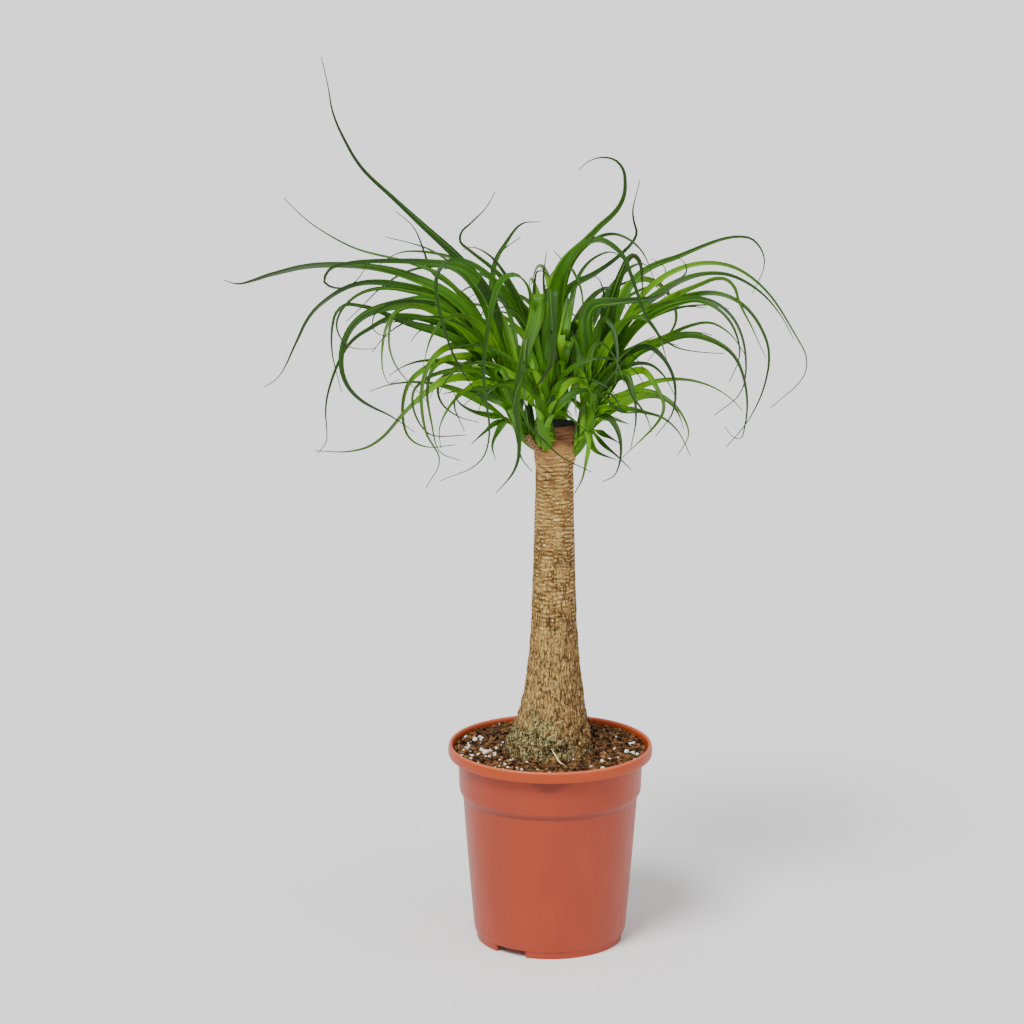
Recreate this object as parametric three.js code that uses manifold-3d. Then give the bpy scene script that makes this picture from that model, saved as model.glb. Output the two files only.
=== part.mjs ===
// A ponytail palm in a plastic nursery pot, in millimetres, +Z up.
// The origin is the middle of the pot's underside, and -Y is the front.

import * as THREE from 'three';
import { mergeVertices } from 'three/addons/utils/BufferGeometryUtils.js';
import Module from 'manifold-3d';

const wasm = await Module();
wasm.setup();

const { Vector3 } = THREE;
const TURN = 2 * Math.PI;

// Driving dimensions of the pot
const POT_HEIGHT = 207.3;
const RIM_RADIUS = 104.8;
const RIM_BAND = 11.5;
const RIM_INNER_RADIUS = 99.9;
const SHOULDER_RADIUS = 94.6;
const STEP_TOP = 159.6;
const STEP_BOTTOM = 152.1;
const BODY_TOP_RADIUS = 89.7;
const BODY_BOTTOM_RADIUS = 78.6;
const BODY_BOTTOM = 12.5;
const FOOT_RADIUS = 75.9;
const FOOT_HEIGHT = 7.5;
const FOOT_WIDTH = 2.5;
const CENTRE_FOOT_RADIUS = 12;
const WALL = 1.8;
const BELLY = { height: 80, swell: 0.3 };
const FOOT_FILLET = { out: 0.4, up: 0.6, over: 1.2 };
const STEP_ROUND = { out: 0.5, down: 1.5 };
const RIM_CORNER = 1;
const RIM_ROUND = 2.8;
const LIP = { inset: 0.6, drop: 0.8, depth: 3 };
const RIM_INSIDE = { draft: 0.4, depth: 9, thinning: 1.2, ledge: 12.6, neck: 16 };
const STEP_DRAFT = 1.1;
const FLOOR_CORNER = 2.4;
const POT_SIDES = 32;
const NOTCH = { count: 3, first: 237.2, width: 35, depth: 14 };
const DRAIN = { count: 6, radius: 4.5, ring: 56, sides: 10 };

// Driving dimensions of the soil and of the gap that touching pieces keep
const SOIL_TOP = 199.3;
const SOIL_CROWN = 2;
const SOIL_RINGS = 4;
const SOIL_HUMPS = { wide: 1.1, small: 0.8 };
const GAP = 0.3;

// The trunk's outline: height, radius, and how far its middle stands to the right
const TRUNK_OUTLINE = [
  [152, 24, -2.5], [166, 38, -2.5], [184, 45, -2.5], [198, 45.6, -2.5], [212, 42, -1.5], [225, 38.8, 0],
  [240, 34.5, 2], [263, 30.2, 3.5], [282, 27.6, 3.5], [308, 25, 3.5], [341, 22.9, 3.5], [375, 21.9, 3.5],
  [404, 20.8, 3.5], [431, 20.2, 3.5], [458, 19.7, 3.5], [480, 19.1, 3.5], [500, 19, 3.5], [512, 19.6, 4],
  [526, 21.3, 5], [538, 22, 5.5], [542.5, 21.2, 5.5],
];
const TRUNK_SIDES = 14;
const RING_SPACING = 5.3;
const RING_RELIEF = 0.75;
const RINGS_FROM = 326;
const RINGS_TO = 500;
const CUT_HEIGHTS = [513, 525, 537];
const BARK_STEP = 11;
const BARK_RELIEF = 1.5;
const CORK_FADE = { from: 250, to: 350 };

// The dry pruned shoot as [x, y, z, radius] from the trunk outwards
const DRY_STUB = [[-8, -10, 513, 2.5], [-18, -16, 523, 3.6], [-24, -20, 531, 3.8]];
const STUB_SIDES = 8;

// The spot that the leaf routes are seen from
const VIEWPOINT = new Vector3(-39.3, -3090, 1149);

// Leaves
const SAMPLES = 48;
const SLANT = 1.3;
const WIDEST_AT = 0.3;
const ROOT_WIDTH = 0.6;
const TAPER = 2.4;
const THINNEST_HALF = 0.35;
const STEP_BEND = 0.55;
const STEP_SAMPLES = 9;
const KEEL_BASE = 0.7;
const KEEL_SHARE = 0.07;
const FACING = 60;
const CLEAR = 2;
const CLEARING_PASSES = 8;
const TRUNK_REACH = 552;
const SPREAD = 7;
const ROOT_RING = 6;
const ROOT_RISE = 34;
const CORE_SIDES = 9;

// Each shoot: its core as [x, y, z, radius] from the trunk outwards, and the point its leaves spring from
const SHOOTS = {
  head_left: {
    core: [[-8, 0, 514, 6], [-20, -3, 522, 7.5], [-30, -6, 534, 9],
      [-36, -8, 556, 10.5], [-45, -13, 592, 10.5], [-57, -18, 622, 4]],
    heart: [-33, -7, 540],
  },
  head_front: {
    core: [[-3, -10, 516, 5.5], [-4, -21, 526, 7], [-7, -28, 538, 9],
      [-8, -33, 560, 10], [-11, -37, 600, 9], [-12, -40, 634, 4]],
    heart: [-7, -30, 543],
  },
  head_right: {
    core: [[15, -3, 506, 6], [26, -6, 516, 6.5], [33, -8, 529, 8],
      [38, -9, 550, 9.5], [46, -14, 588, 10.5], [58, -19, 620, 4]],
    heart: [36, -8, 536],
  },
  head_back: {
    core: [[6, 10, 510, 6], [8, 24, 520, 8], [9, 32, 535, 9.5],
      [10, 36, 560, 10], [11, 41, 592, 9], [12, 45, 622, 4]],
    heart: [9, 32, 540],
  },
};

// Leaves read by eye: the widest width, the depths from root to tip, and the route [across, up] as seen
// from the viewpoint in the upright plane through the trunk.
const LEAVES = {
  head_front: [
    [9, [-30, -70, -110, -128], [[-13, 585], [-19, 612], [-28, 640], [-43, 667], [-62, 689], [-80, 702],
      [-97, 706], [-108, 701], [-114, 689], [-114, 672], [-110, 650], [-99, 614], [-86, 589],
      [-68, 563]]],
    [11, [-32, -76, -120, -138], [[-11, 585], [-16, 620], [-20, 655], [-24, 679], [-33, 690], [-44, 690],
      [-52, 681], [-58, 662], [-63, 635], [-67, 606], [-66, 571], [-62, 540], [-64, 517], [-73, 500],
      [-112, 482]]],
    [7, [-28, -48, -62, -70], [[-12, 600], [-25, 645], [-41, 678], [-58, 697], [-78, 713], [-91, 725],
      [-90, 733], [-80, 743], [-65, 758], [-56, 774]]],
    [8, [-26, -52, -80], [[-12, 600], [-27, 655], [-49, 696], [-62, 711], [-79, 719], [-88, 716]]],
    [8, [-22, -30, -34], [[-12, 610], [-16, 650], [-17, 682], [-13, 696], [0, 688]]],
    [15, [-34, -56, -78, -102, -112], [[-11, 600], [-12, 640], [-13, 677], [-14, 666], [-15, 648],
      [-19, 636], [-26, 613], [-31, 591], [-36, 565], [-33, 540], [-33, 505], [-39, 489], [-56, 469]]],
    [15, [-34, -62, -84, -98, -106], [[-5, 600], [-2, 640], [1, 679], [1, 666], [2, 648], [2, 630],
      [0, 602], [-8, 588], [-25, 565]]],
    [11, [-28, -36, -62, -70], [[-6, 590], [-2, 640], [3, 680], [14, 705], [31, 722], [49, 741],
      [64, 755], [72, 773], [69, 799], [58, 807], [40, 806], [26, 795]]],
    [8, [-18, -34, -38, -30], [[0, 600], [8, 663], [20, 680], [40, 691], [58, 703], [75, 718], [84, 731],
      [80, 752], [87, 786]]],
    [7, [-28, -66, -98], [[5, 640], [15, 699], [27, 718], [43, 727], [58, 722], [71, 710], [80, 688],
      [93, 653], [107, 631], [123, 619], [144, 614], [172, 612]]],
    [8, [-30, -46, -72], [[8, 660], [20, 703], [40, 725], [58, 732], [74, 728], [90, 714], [102, 686]]],
    [6, [-34, -62, -92], [[4, 640], [12, 688], [18, 698], [24, 690], [30, 673], [32, 630]]],
    [5, [-30, -46, -54], [[-1, 545], [8, 552], [20, 546], [38, 531]]],
    [9, [-32, -60, -96], [[-8, 600], [-13, 642], [-17, 655], [-22, 642], [-27, 610], [-25, 585]]],
  ],
  head_left: [
    [8, [-8, -20, -34, -40], [[-62, 670], [-92, 707], [-124, 737], [-155, 766], [-188, 798], [-205, 827],
      [-215, 851], [-220, 880], [-226, 906]]],
    [5, [0, 16, 44], [[-75, 650], [-110, 690], [-140, 703], [-190, 716], [-210, 725], [-240, 744],
      [-265, 768]]],
    [8, [-10, -34, -30], [[-60, 612], [-73, 638], [-90, 661], [-111, 677], [-134, 687], [-158, 695],
      [-190, 700], [-240, 700], [-280, 691], [-312, 682], [-326, 686]]],
    [9, [-4, -30, -56, -70], [[-60, 665], [-85, 696], [-118, 703], [-160, 705], [-200, 703], [-220, 697],
      [-227, 688], [-221, 679], [-205, 679], [-192, 687], [-182, 706]]],
    [8, [-6, -16, -40], [[-70, 640], [-88, 660], [-127, 675], [-158, 682], [-177, 684], [-200, 680],
      [-220, 669], [-240, 651], [-257, 618], [-272, 589], [-287, 578]]],
    [7, [-8, -60, -100], [[-90, 655], [-113, 668], [-140, 675], [-165, 678], [-187, 674], [-203, 663],
      [-214, 645], [-211, 629], [-200, 618], [-175, 617]]],
    [8, [-10, -60, -88], [[-70, 608], [-90, 624], [-110, 633], [-137, 641], [-159, 649], [-181, 658],
      [-209, 660], [-217, 645], [-219, 615], [-210, 573]]],
    [12, [-12, -76, -118], [[-72, 613], [-88, 636], [-106, 656], [-125, 664], [-148, 662], [-175, 656],
      [-190, 648], [-203, 633], [-210, 608], [-206, 583], [-190, 564], [-160, 548], [-137, 532]]],
    [7, [-12, -50, -84], [[-72, 612], [-91, 630], [-113, 643], [-137, 649], [-159, 649], [-180, 638],
      [-200, 624], [-214, 600], [-225, 565], [-226, 540], [-224, 526], [-235, 510]]],
    [8, [-12, -90, -140], [[-76, 623], [-91, 640], [-113, 652], [-138, 660], [-155, 654], [-165, 637],
      [-169, 600], [-163, 582], [-152, 586]]],
    [6, [-12, -100, -156], [[-80, 632], [-115, 654], [-145, 658], [-158, 648], [-162, 622], [-155, 599],
      [-125, 564]]],
    [6, [-6, -70, -132], [[-85, 645], [-125, 664], [-160, 662], [-176, 652], [-177, 635], [-164, 629]]],
    [5, [4, 36, 66], [[-75, 675], [-100, 698], [-124, 699], [-147, 693], [-171, 677], [-190, 658],
      [-205, 644]]],
    [6, [2, 20, 14], [[-80, 662], [-105, 684], [-119, 694], [-127, 716], [-137, 739], [-155, 755]]],
    [6, [8, 56, 96], [[-50, 620], [-70, 672], [-95, 699], [-120, 716], [-140, 723], [-165, 729]]],
    [7, [8, 70, 126], [[-50, 625], [-70, 680], [-92, 705], [-124, 714], [-152, 713], [-172, 700]]],
    [10, [-4, 12, 40], [[-54, 640], [-59, 680], [-56, 704], [-46, 722], [-30, 742], [-11, 744]]],
    [7, [0, 24, 60], [[-45, 610], [-58, 655], [-60, 690], [-53, 711], [-31, 729]]],
    [5, [-22, -44, -60], [[-42, 556], [-37, 545], [-33, 520], [-30, 506], [-19, 491]]],
    [5, [-14, -56, -60, -52], [[-56, 590], [-52, 598], [-43, 584], [-33, 562], [-21, 537], [-9, 525],
      [10, 507], [41, 491]]],
    [7, [-10, -46, -80], [[-52, 579], [-68, 585], [-90, 588], [-110, 583], [-128, 570], [-148, 551],
      [-168, 528], [-184, 517], [-206, 512], [-238, 513]]],
    [6, [-12, -64, -116], [[-64, 602], [-84, 610], [-103, 607], [-118, 597], [-124, 575], [-120, 542],
      [-112, 512], [-91, 503]]],
    [7, [-12, -80, -124], [[-67, 613], [-86, 620], [-104, 618], [-119, 606], [-128, 585], [-130, 560],
      [-125, 530], [-112, 503], [-126, 475]]],
    [5, [-12, -70, -104], [[-62, 591], [-82, 595], [-105, 594], [-124, 587], [-138, 573], [-137, 552],
      [-122, 530], [-85, 529]]],
    [7, [8, 60, 112], [[-65, 603], [-90, 609], [-118, 601], [-141, 584], [-149, 556], [-143, 527],
      [-126, 517], [-96, 519]]],
    [6, [-14, -64, -94], [[-60, 579], [-74, 582], [-88, 573], [-102, 558], [-112, 536], [-111, 516]]],
    [8, [-14, -6, 18], [[-46, 560], [-60, 567], [-76, 572], [-92, 574], [-109, 571]]],
    [6, [6, 56, 84], [[-62, 602], [-78, 603], [-97, 596], [-113, 580], [-110, 562], [-93, 548],
      [-72, 542]]],
    [6, [-16, -44, -66], [[-48, 547], [-61, 549], [-80, 554], [-93, 563], [-98, 574]]],
    [5, [-14, -30, -52], [[-46, 542], [-56, 541], [-66, 533], [-80, 520]]],
    [6, [12, 50, 74], [[-50, 568], [-70, 576], [-92, 572], [-97, 560], [-87, 533]]],
    [6, [-16, -32, -50], [[-44, 545], [-54, 532], [-59, 518], [-56, 504]]],
    [9, [-18, -64, -104], [[-58, 620], [-72, 641], [-90, 650], [-108, 645], [-120, 628], [-128, 600]]],
  ],
  head_right: [
    [15, [-12, -34, -58], [[50, 600], [60, 660], [70, 694], [80, 711], [87, 705], [91, 670]]],
    [7, [-8, -14, 0], [[43, 570], [49, 614], [50, 650], [52, 672], [45, 689], [36, 690]]],
    [12, [-20, -44, -44, -30], [[35, 620], [34, 648], [41, 661], [60, 664], [85, 666], [105, 669],
      [120, 680], [135, 698], [125, 709]]],
    [7, [0, 26, 60], [[62, 640], [81, 685], [100, 700], [124, 709], [150, 720], [174, 728], [196, 728],
      [208, 716], [211, 700], [199, 672]]],
    [5, [-8, -24, -44], [[70, 640], [92, 673], [114, 691], [138, 701], [161, 703], [183, 698], [204, 684],
      [221, 666], [240, 636], [255, 607], [252, 588], [219, 556]]],
    [8, [-4, 10, 36], [[75, 645], [103, 670], [127, 685], [150, 692], [172, 692], [191, 685], [212, 670],
      [230, 648], [242, 626]]],
    [8, [-12, -48, -84], [[80, 635], [115, 666], [144, 680], [168, 688], [180, 682], [187, 663],
      [199, 640], [214, 608]]],
    [6, [-12, -60, -104], [[85, 640], [115, 662], [145, 672], [168, 672], [188, 663], [204, 646],
      [217, 615], [212, 575], [195, 540], [176, 517]]],
    [6, [-12, -70, -124], [[80, 635], [110, 659], [140, 668], [165, 662], [184, 643], [194, 610],
      [190, 573], [163, 549]]],
    [8, [-14, -84, -136], [[75, 627], [100, 651], [125, 662], [147, 665], [168, 655], [182, 637],
      [188, 610], [178, 583]]],
    [7, [-14, -94, -146], [[80, 610], [110, 627], [141, 641], [159, 643], [178, 632], [194, 610]]],
    [7, [0, 60, 124], [[81, 608], [105, 622], [135, 631], [163, 624], [182, 610], [193, 585], [196, 550],
      [188, 523], [174, 538]]],
    [6, [-14, -56, -90], [[46, 580], [63, 602], [79, 617], [104, 630]]],
    [8, [4, 60, 110], [[60, 645], [76, 680], [89, 687], [105, 683], [118, 669], [124, 645], [96, 604]]],
    [7, [6, 60, 86], [[46, 600], [66, 660], [88, 676], [108, 683], [113, 697], [99, 708]]],
    [7, [-14, -68, -110], [[65, 603], [80, 615], [97, 619], [112, 607], [123, 584], [122, 553],
      [105, 528]]],
    [7, [-6, 50, 90], [[46, 575], [62, 590], [80, 601], [98, 601], [112, 590], [124, 569]]],
    [7, [-16, -80, -112], [[62, 583], [79, 593], [93, 594], [104, 580], [113, 558], [108, 544],
      [71, 505]]],
    [6, [-14, -58, -90], [[46, 555], [58, 564], [75, 571], [93, 574], [111, 569], [127, 556], [138, 530],
      [127, 508]]],
    [5, [-14, -70, -102], [[47, 550], [58, 555], [76, 556], [95, 552], [113, 546], [128, 532],
      [140, 508]]],
    [5, [-14, -38, -60], [[46, 533], [56, 528], [70, 520]]],
    [4, [-14, -44, -60], [[45, 528], [53, 519], [67, 507], [81, 493]]],
    [5, [-14, -36, -50], [[40, 522], [46, 512], [67, 503]]],
    [4, [-18, -34, -46], [[38, 522], [35, 500], [31, 483], [22, 466]]],
    [7, [-18, -62, -84], [[47, 570], [60, 583], [73, 587], [82, 568], [95, 549], [101, 532]]],
    [6, [-16, -50, -62], [[46, 562], [58, 572], [67, 562], [71, 550]]],
    [6, [-16, -52, -76], [[46, 570], [62, 588], [75, 592], [82, 575], [85, 545], [80, 515]]],
    [5, [-16, -42, -56], [[46, 547], [57, 547], [67, 533], [70, 508], [64, 488], [52, 481]]],
    [7, [-6, 22, 50], [[46, 545], [56, 547], [79, 540]]],
    [7, [-14, -42, -52], [[46, 552], [58, 557], [75, 552], [91, 552]]],
    [10, [-16, -40, -62], [[42, 562], [54, 582], [68, 600], [78, 612]]],
    [8, [-18, -32, -48], [[34, 572], [29, 592], [26, 596], [24, 580], [25, 548]]],
    [6, [-6, 6, 14], [[33, 552], [25, 562], [10, 573], [0, 571]]],
    [10, [-14, -58, -96], [[44, 590], [56, 622], [74, 646], [92, 648], [106, 632], [116, 603]]],
    [9, [-16, -50, -88], [[41, 590], [44, 625], [52, 647], [60, 640], [66, 612], [64, 580]]],
  ],
  head_back: [
    [8, [30, 46, 60], [[4, 600], [-4, 650], [-8, 690], [-5, 714]]],
    [8, [32, 56, 70], [[8, 610], [14, 670], [12, 702], [2, 716]]],
    [8, [34, 60, 90], [[10, 600], [18, 655], [28, 692], [42, 708], [60, 714], [74, 704]]],
    [5, [30, 36, 42], [[2, 552], [6, 556], [15, 555], [21, 548]]],
  ],
};

// Leaves placed by rule: how many, and the sweep of directions that they lean to, in degrees from +X
const RULED = {
  head_front: { count: 6, from: 225, to: 315, shortest: 130, longest: 200, seed: 11 },
  head_left: { count: 7, from: 118, to: 218, shortest: 150, longest: 240, seed: 1080 },
  head_right: { count: 7, from: -34, to: 66, shortest: 150, longest: 230, seed: 1858 },
  head_back: { count: 20, from: 40, to: 150, shortest: 190, longest: 280, seed: 259 },
};
const RULED_RISE = { least: 4, most: 46, spread: 6 };
const RULED_HANG = { least: 105, most: 168 };
const RULED_CURL = 60;
const RULED_WIDTH = { narrowest: 7, widest: 11 };
const RULED_STEPS = 12;
const ARCH = 1.25;

const FINISHES = {
  pot: { color: '#b9593f', roughness: 0.42 },
  soil: { color: '#3a2a1f', roughness: 0.95 },
  trunk: { color: '#a98962', roughness: 0.85 },
  dry_stub: { color: '#5a3d26', roughness: 0.9 },
  leaf: { color: '#3f8a28', roughness: 0.5 },
};

// The same draws each time, from 0 to 1
function draws(seed) {
  let state = seed;
  return () => {
    state = (state * 16807) % 2147483647;
    return state / 2147483647;
  };
}

const radians = THREE.MathUtils.degToRad;
const mix = THREE.MathUtils.lerp;
const clamp = THREE.MathUtils.clamp;
const smooth = THREE.MathUtils.smoothstep;

// The value at a height in rows whose first number is the height
function atHeight(rows, z, column) {
  const last = rows.length - 1;
  const next = clamp(rows.findIndex((row) => row[0] > z), 1, last);
  const above = z >= rows[last][0] ? last : next;
  const [low, high] = [rows[above - 1], rows[above]];
  const share = clamp((z - low[0]) / (high[0] - low[0]), 0, 1);
  return mix(low[column], high[column], share);
}

// A closed solid from a geometry
function solidOf(geometry) {
  const bare = new THREE.BufferGeometry();
  bare.setAttribute('position', geometry.getAttribute('position'));
  bare.setIndex(geometry.getIndex());
  const merged = mergeVertices(bare, 1e-4);
  return new wasm.Manifold(new wasm.Mesh({
    numProp: 3,
    vertProperties: new Float32Array(merged.getAttribute('position').array),
    triVerts: new Uint32Array(merged.getIndex().array),
  }));
}

// The largest piece of a solid, with any hollow that fusing sealed filled
function onePiece(solid) {
  return solid.decompose().reduce((most, piece) => (piece.volume() > most.volume() ? piece : most));
}

// A geometry from a closed solid
function geometryOf(solid) {
  const mesh = solid.getMesh();
  const geometry = new THREE.BufferGeometry();
  geometry.setAttribute('position', new THREE.BufferAttribute(mesh.vertProperties, 3));
  geometry.setIndex(new THREE.BufferAttribute(mesh.triVerts, 1));
  geometry.computeVertexNormals();
  return geometry;
}

// A closed skin over rings of points, each ring counter-clockwise as seen from the last one
function loft(rings) {
  const sides = rings[0].length;
  const positions = rings.flat().flatMap((p) => [p.x, p.y, p.z]);
  const faces = [];
  for (let i = 0; i + 1 < rings.length; i += 1) {
    for (let j = 0; j < sides; j += 1) {
      const a = i * sides + j;
      const b = i * sides + (j + 1) % sides;
      faces.push(a, b, b + sides, a, b + sides, a + sides);
    }
  }
  const ends = [[0, 1], [rings.length - 1, 0]];
  for (const [ring, first] of ends) {
    const middle = positions.length / 3;
    const centre = rings[ring].reduce((sum, p) => sum.add(p), new Vector3()).divideScalar(sides);
    positions.push(centre.x, centre.y, centre.z);
    for (let j = 0; j < sides; j += 1) {
      const pair = [ring * sides + j, ring * sides + (j + 1) % sides];
      faces.push(middle, pair[first], pair[1 - first]);
    }
  }
  const geometry = new THREE.BufferGeometry();
  geometry.setAttribute('position', new THREE.Float32BufferAttribute(positions, 3));
  geometry.setIndex(faces);
  return geometry;
}

// The pot's shell, turned about its axis
function potProfile() {
  const taper = (z) => mix(BODY_BOTTOM_RADIUS, BODY_TOP_RADIUS,
    (z - BODY_BOTTOM) / (STEP_BOTTOM - BODY_BOTTOM));
  const band = POT_HEIGHT - RIM_BAND;
  const floor = FOOT_HEIGHT + WALL;
  return [
    [0, 0], [CENTRE_FOOT_RADIUS, 0], [CENTRE_FOOT_RADIUS, FOOT_HEIGHT],
    [FOOT_RADIUS - FOOT_WIDTH, FOOT_HEIGHT], [FOOT_RADIUS - FOOT_WIDTH, 0],
    [FOOT_RADIUS, 0], [FOOT_RADIUS + FOOT_FILLET.out, FOOT_HEIGHT - FOOT_FILLET.up],
    [BODY_BOTTOM_RADIUS - 1, FOOT_HEIGHT + FOOT_FILLET.over], [BODY_BOTTOM_RADIUS, BODY_BOTTOM],
    [taper(BELLY.height) + BELLY.swell, BELLY.height],
    [BODY_TOP_RADIUS, STEP_BOTTOM],
    [SHOULDER_RADIUS - STEP_DRAFT - STEP_ROUND.out, STEP_TOP - STEP_ROUND.down],
    [SHOULDER_RADIUS - STEP_DRAFT, STEP_TOP],
    [SHOULDER_RADIUS, band - RIM_CORNER], [RIM_RADIUS - RIM_CORNER, band], [RIM_RADIUS, band + RIM_CORNER],
    [RIM_RADIUS, POT_HEIGHT - RIM_ROUND], [RIM_RADIUS - RIM_CORNER, POT_HEIGHT - RIM_CORNER],
    [RIM_RADIUS - RIM_ROUND, POT_HEIGHT],
    [RIM_INNER_RADIUS + LIP.inset, POT_HEIGHT - LIP.drop], [RIM_INNER_RADIUS, POT_HEIGHT - LIP.depth],
    ...innerWall(0),
    [0, floor],
  ];
}

// The inside of the pot's wall from the rim down to the floor, moved in by a gap
function innerWall(gap) {
  return [
    [RIM_INNER_RADIUS - RIM_INSIDE.draft - gap, POT_HEIGHT - RIM_INSIDE.depth],
    [SHOULDER_RADIUS - RIM_INSIDE.thinning - gap, POT_HEIGHT - RIM_INSIDE.ledge + gap],
    [SHOULDER_RADIUS - WALL - gap, POT_HEIGHT - RIM_INSIDE.neck],
    [SHOULDER_RADIUS - STEP_DRAFT - WALL - gap, STEP_TOP],
    [BODY_TOP_RADIUS - WALL - gap, STEP_BOTTOM],
    [BODY_BOTTOM_RADIUS - WALL - gap, BODY_BOTTOM + 1],
    [BODY_BOTTOM_RADIUS - WALL - FLOOR_CORNER - gap, FOOT_HEIGHT + WALL + gap],
  ];
}

function turned(profile, sides) {
  const points = profile.map(([r, z]) => new THREE.Vector2(r, z));
  const geometry = new THREE.LatheGeometry(points, sides);
  geometry.rotateX(Math.PI / 2);
  return geometry;
}

function makePot() {
  let pot = solidOf(turned(potProfile(), POT_SIDES));
  for (let i = 0; i < NOTCH.count; i += 1) {
    const box = new THREE.BoxGeometry(NOTCH.depth, NOTCH.width, 2 * FOOT_HEIGHT);
    box.translate(FOOT_RADIUS, 0, -0.1);
    box.rotateZ(radians(NOTCH.first) + i * TURN / NOTCH.count);
    pot = pot.subtract(solidOf(box));
  }
  for (let i = 0; i < DRAIN.count; i += 1) {
    const hole = new THREE.CylinderGeometry(DRAIN.radius, DRAIN.radius, 4 * WALL, DRAIN.sides);
    hole.rotateX(Math.PI / 2);
    hole.translate(DRAIN.ring, 0, FOOT_HEIGHT + WALL / 2);
    hole.rotateZ((i + 0.5) * TURN / DRAIN.count);
    pot = pot.subtract(solidOf(hole));
  }
  return pot;
}

// Humps and hollows of the soil's surface
function soilLift(x, y, edge) {
  const fade = 1 - Math.min(Math.hypot(x, y) / edge, 1) ** 6;
  const wide = Math.sin(x * 0.083 + 1.3) * Math.cos(y * 0.071 - 0.4);
  const small = Math.sin(x * 0.31 + y * 0.17) * Math.cos(y * 0.27 - x * 0.11);
  return fade * (SOIL_HUMPS.wide * wide + SOIL_HUMPS.small * small);
}

function makeSoil(hollow) {
  const edge = RIM_INNER_RADIUS - LIP.inset - GAP;
  const top = Array.from({ length: SOIL_RINGS }, (_, i) => {
    const r = edge * (i + 1) / SOIL_RINGS;
    return [r, SOIL_TOP + SOIL_CROWN * (1 - (r / edge) ** 2)];
  });
  const floor = FOOT_HEIGHT + WALL + GAP;
  const profile = [[0, floor], ...innerWall(GAP).reverse(), ...top.reverse(), [0, SOIL_TOP + SOIL_CROWN]];
  const geometry = turned(profile, POT_SIDES);
  const position = geometry.getAttribute('position');
  for (let i = 0; i < position.count; i += 1) {
    if (position.getZ(i) >= SOIL_TOP - 0.01) {
      position.setZ(i, position.getZ(i) + soilLift(position.getX(i), position.getY(i), edge));
    }
  }
  return solidOf(geometry).subtract(hollow);
}

// How far the bark stands out at an angle and a height: ring scars above, cork ridges and furrows below
function barkRelief(angle, z) {
  const ringed = smooth(z, RINGS_FROM - 20, RINGS_FROM + 20) * (1 - smooth(z, RINGS_TO, RINGS_TO + 12));
  const tier = Math.round((z - RINGS_FROM) / (RING_SPACING / 2));
  const ring = RING_RELIEF * (tier % 2 ? -1 : 1) * (0.8 + 0.2 * Math.sin(3 * angle + z));
  const corky = 1 - smooth(z, CORK_FADE.from, CORK_FADE.to);
  const furrow = Math.sin(7 * angle + z * 0.045) * Math.cos(3 * angle - z * 0.11);
  const knob = Math.sin(5 * angle + z * 0.31) * Math.sin(4 * angle - z * 0.23);
  return ringed * ring + corky * BARK_RELIEF * (0.7 * furrow + 0.6 * knob);
}

// The trunk, grown by a gap where it is the hollow that it stands in
function makeTrunk(grow) {
  const heights = [];
  const [bottom, top] = [TRUNK_OUTLINE[0][0], TRUNK_OUTLINE.at(-1)[0]];
  for (let z = bottom; z < RINGS_FROM - BARK_STEP / 2; z += BARK_STEP) {
    heights.push(z);
  }
  for (let z = RINGS_FROM; z < RINGS_TO + 4; z += RING_SPACING / 2) {
    heights.push(z);
  }
  heights.push(...CUT_HEIGHTS, top);
  const rings = heights.map((z, i) => {
    const outermost = i === 0 ? -grow : (i === heights.length - 1 ? grow : 0);
    return Array.from({ length: TRUNK_SIDES }, (_, j) => {
      const angle = j * TURN / TRUNK_SIDES;
      const radius = atHeight(TRUNK_OUTLINE, z, 1) + barkRelief(angle, z) + grow;
      const middle = atHeight(TRUNK_OUTLINE, z, 2);
      return new Vector3(middle + radius * Math.cos(angle), radius * Math.sin(angle), z + outermost);
    });
  });
  return solidOf(loft(rings));
}

// A round stem through [x, y, z, radius] stations
function stem(stations, sides) {
  const rings = stations.map(([x, y, z, radius], i) => {
    const before = stations[Math.max(i - 1, 0)];
    const after = stations[Math.min(i + 1, stations.length - 1)];
    const along = new Vector3(after[0] - before[0], after[1] - before[1], after[2] - before[2]).normalize();
    const side = new Vector3(0, 1, 0).cross(along).normalize();
    const other = along.clone().cross(side);
    return Array.from({ length: sides }, (_, j) => {
      const angle = j * TURN / sides;
      return new Vector3(x, y, z)
        .addScaledVector(side, radius * Math.cos(angle))
        .addScaledVector(other, radius * Math.sin(angle));
    });
  });
  return solidOf(loft(rings));
}

// The line of sight through a point, one millimetre deep
function sight(point) {
  const line = point.clone().sub(VIEWPOINT);
  return line.divideScalar(line.y);
}

// A point seen at [x, z] in the plane through the trunk, slid along its line of sight to its depth
function seen(x, z, depth) {
  const point = new Vector3(x, 0, z);
  return point.addScaledVector(sight(point), depth);
}

// The value a share of the way through a list of evenly spaced values
function along(values, share) {
  const place = share * (values.length - 1);
  const i = Math.min(Math.floor(place), values.length - 2);
  return mix(values[i], values[i + 1], place - i);
}

// A leaf's root, on a ring round the heart of its shoot: the steeper the leaf, the higher it springs
function rootOf(heart, direction, steepness) {
  const ring = ROOT_RING * (1 - 0.5 * steepness);
  const rise = ROOT_RISE * steepness;
  return heart.clone().add(new Vector3(ring * Math.cos(direction), ring * Math.sin(direction), rise));
}

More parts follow.
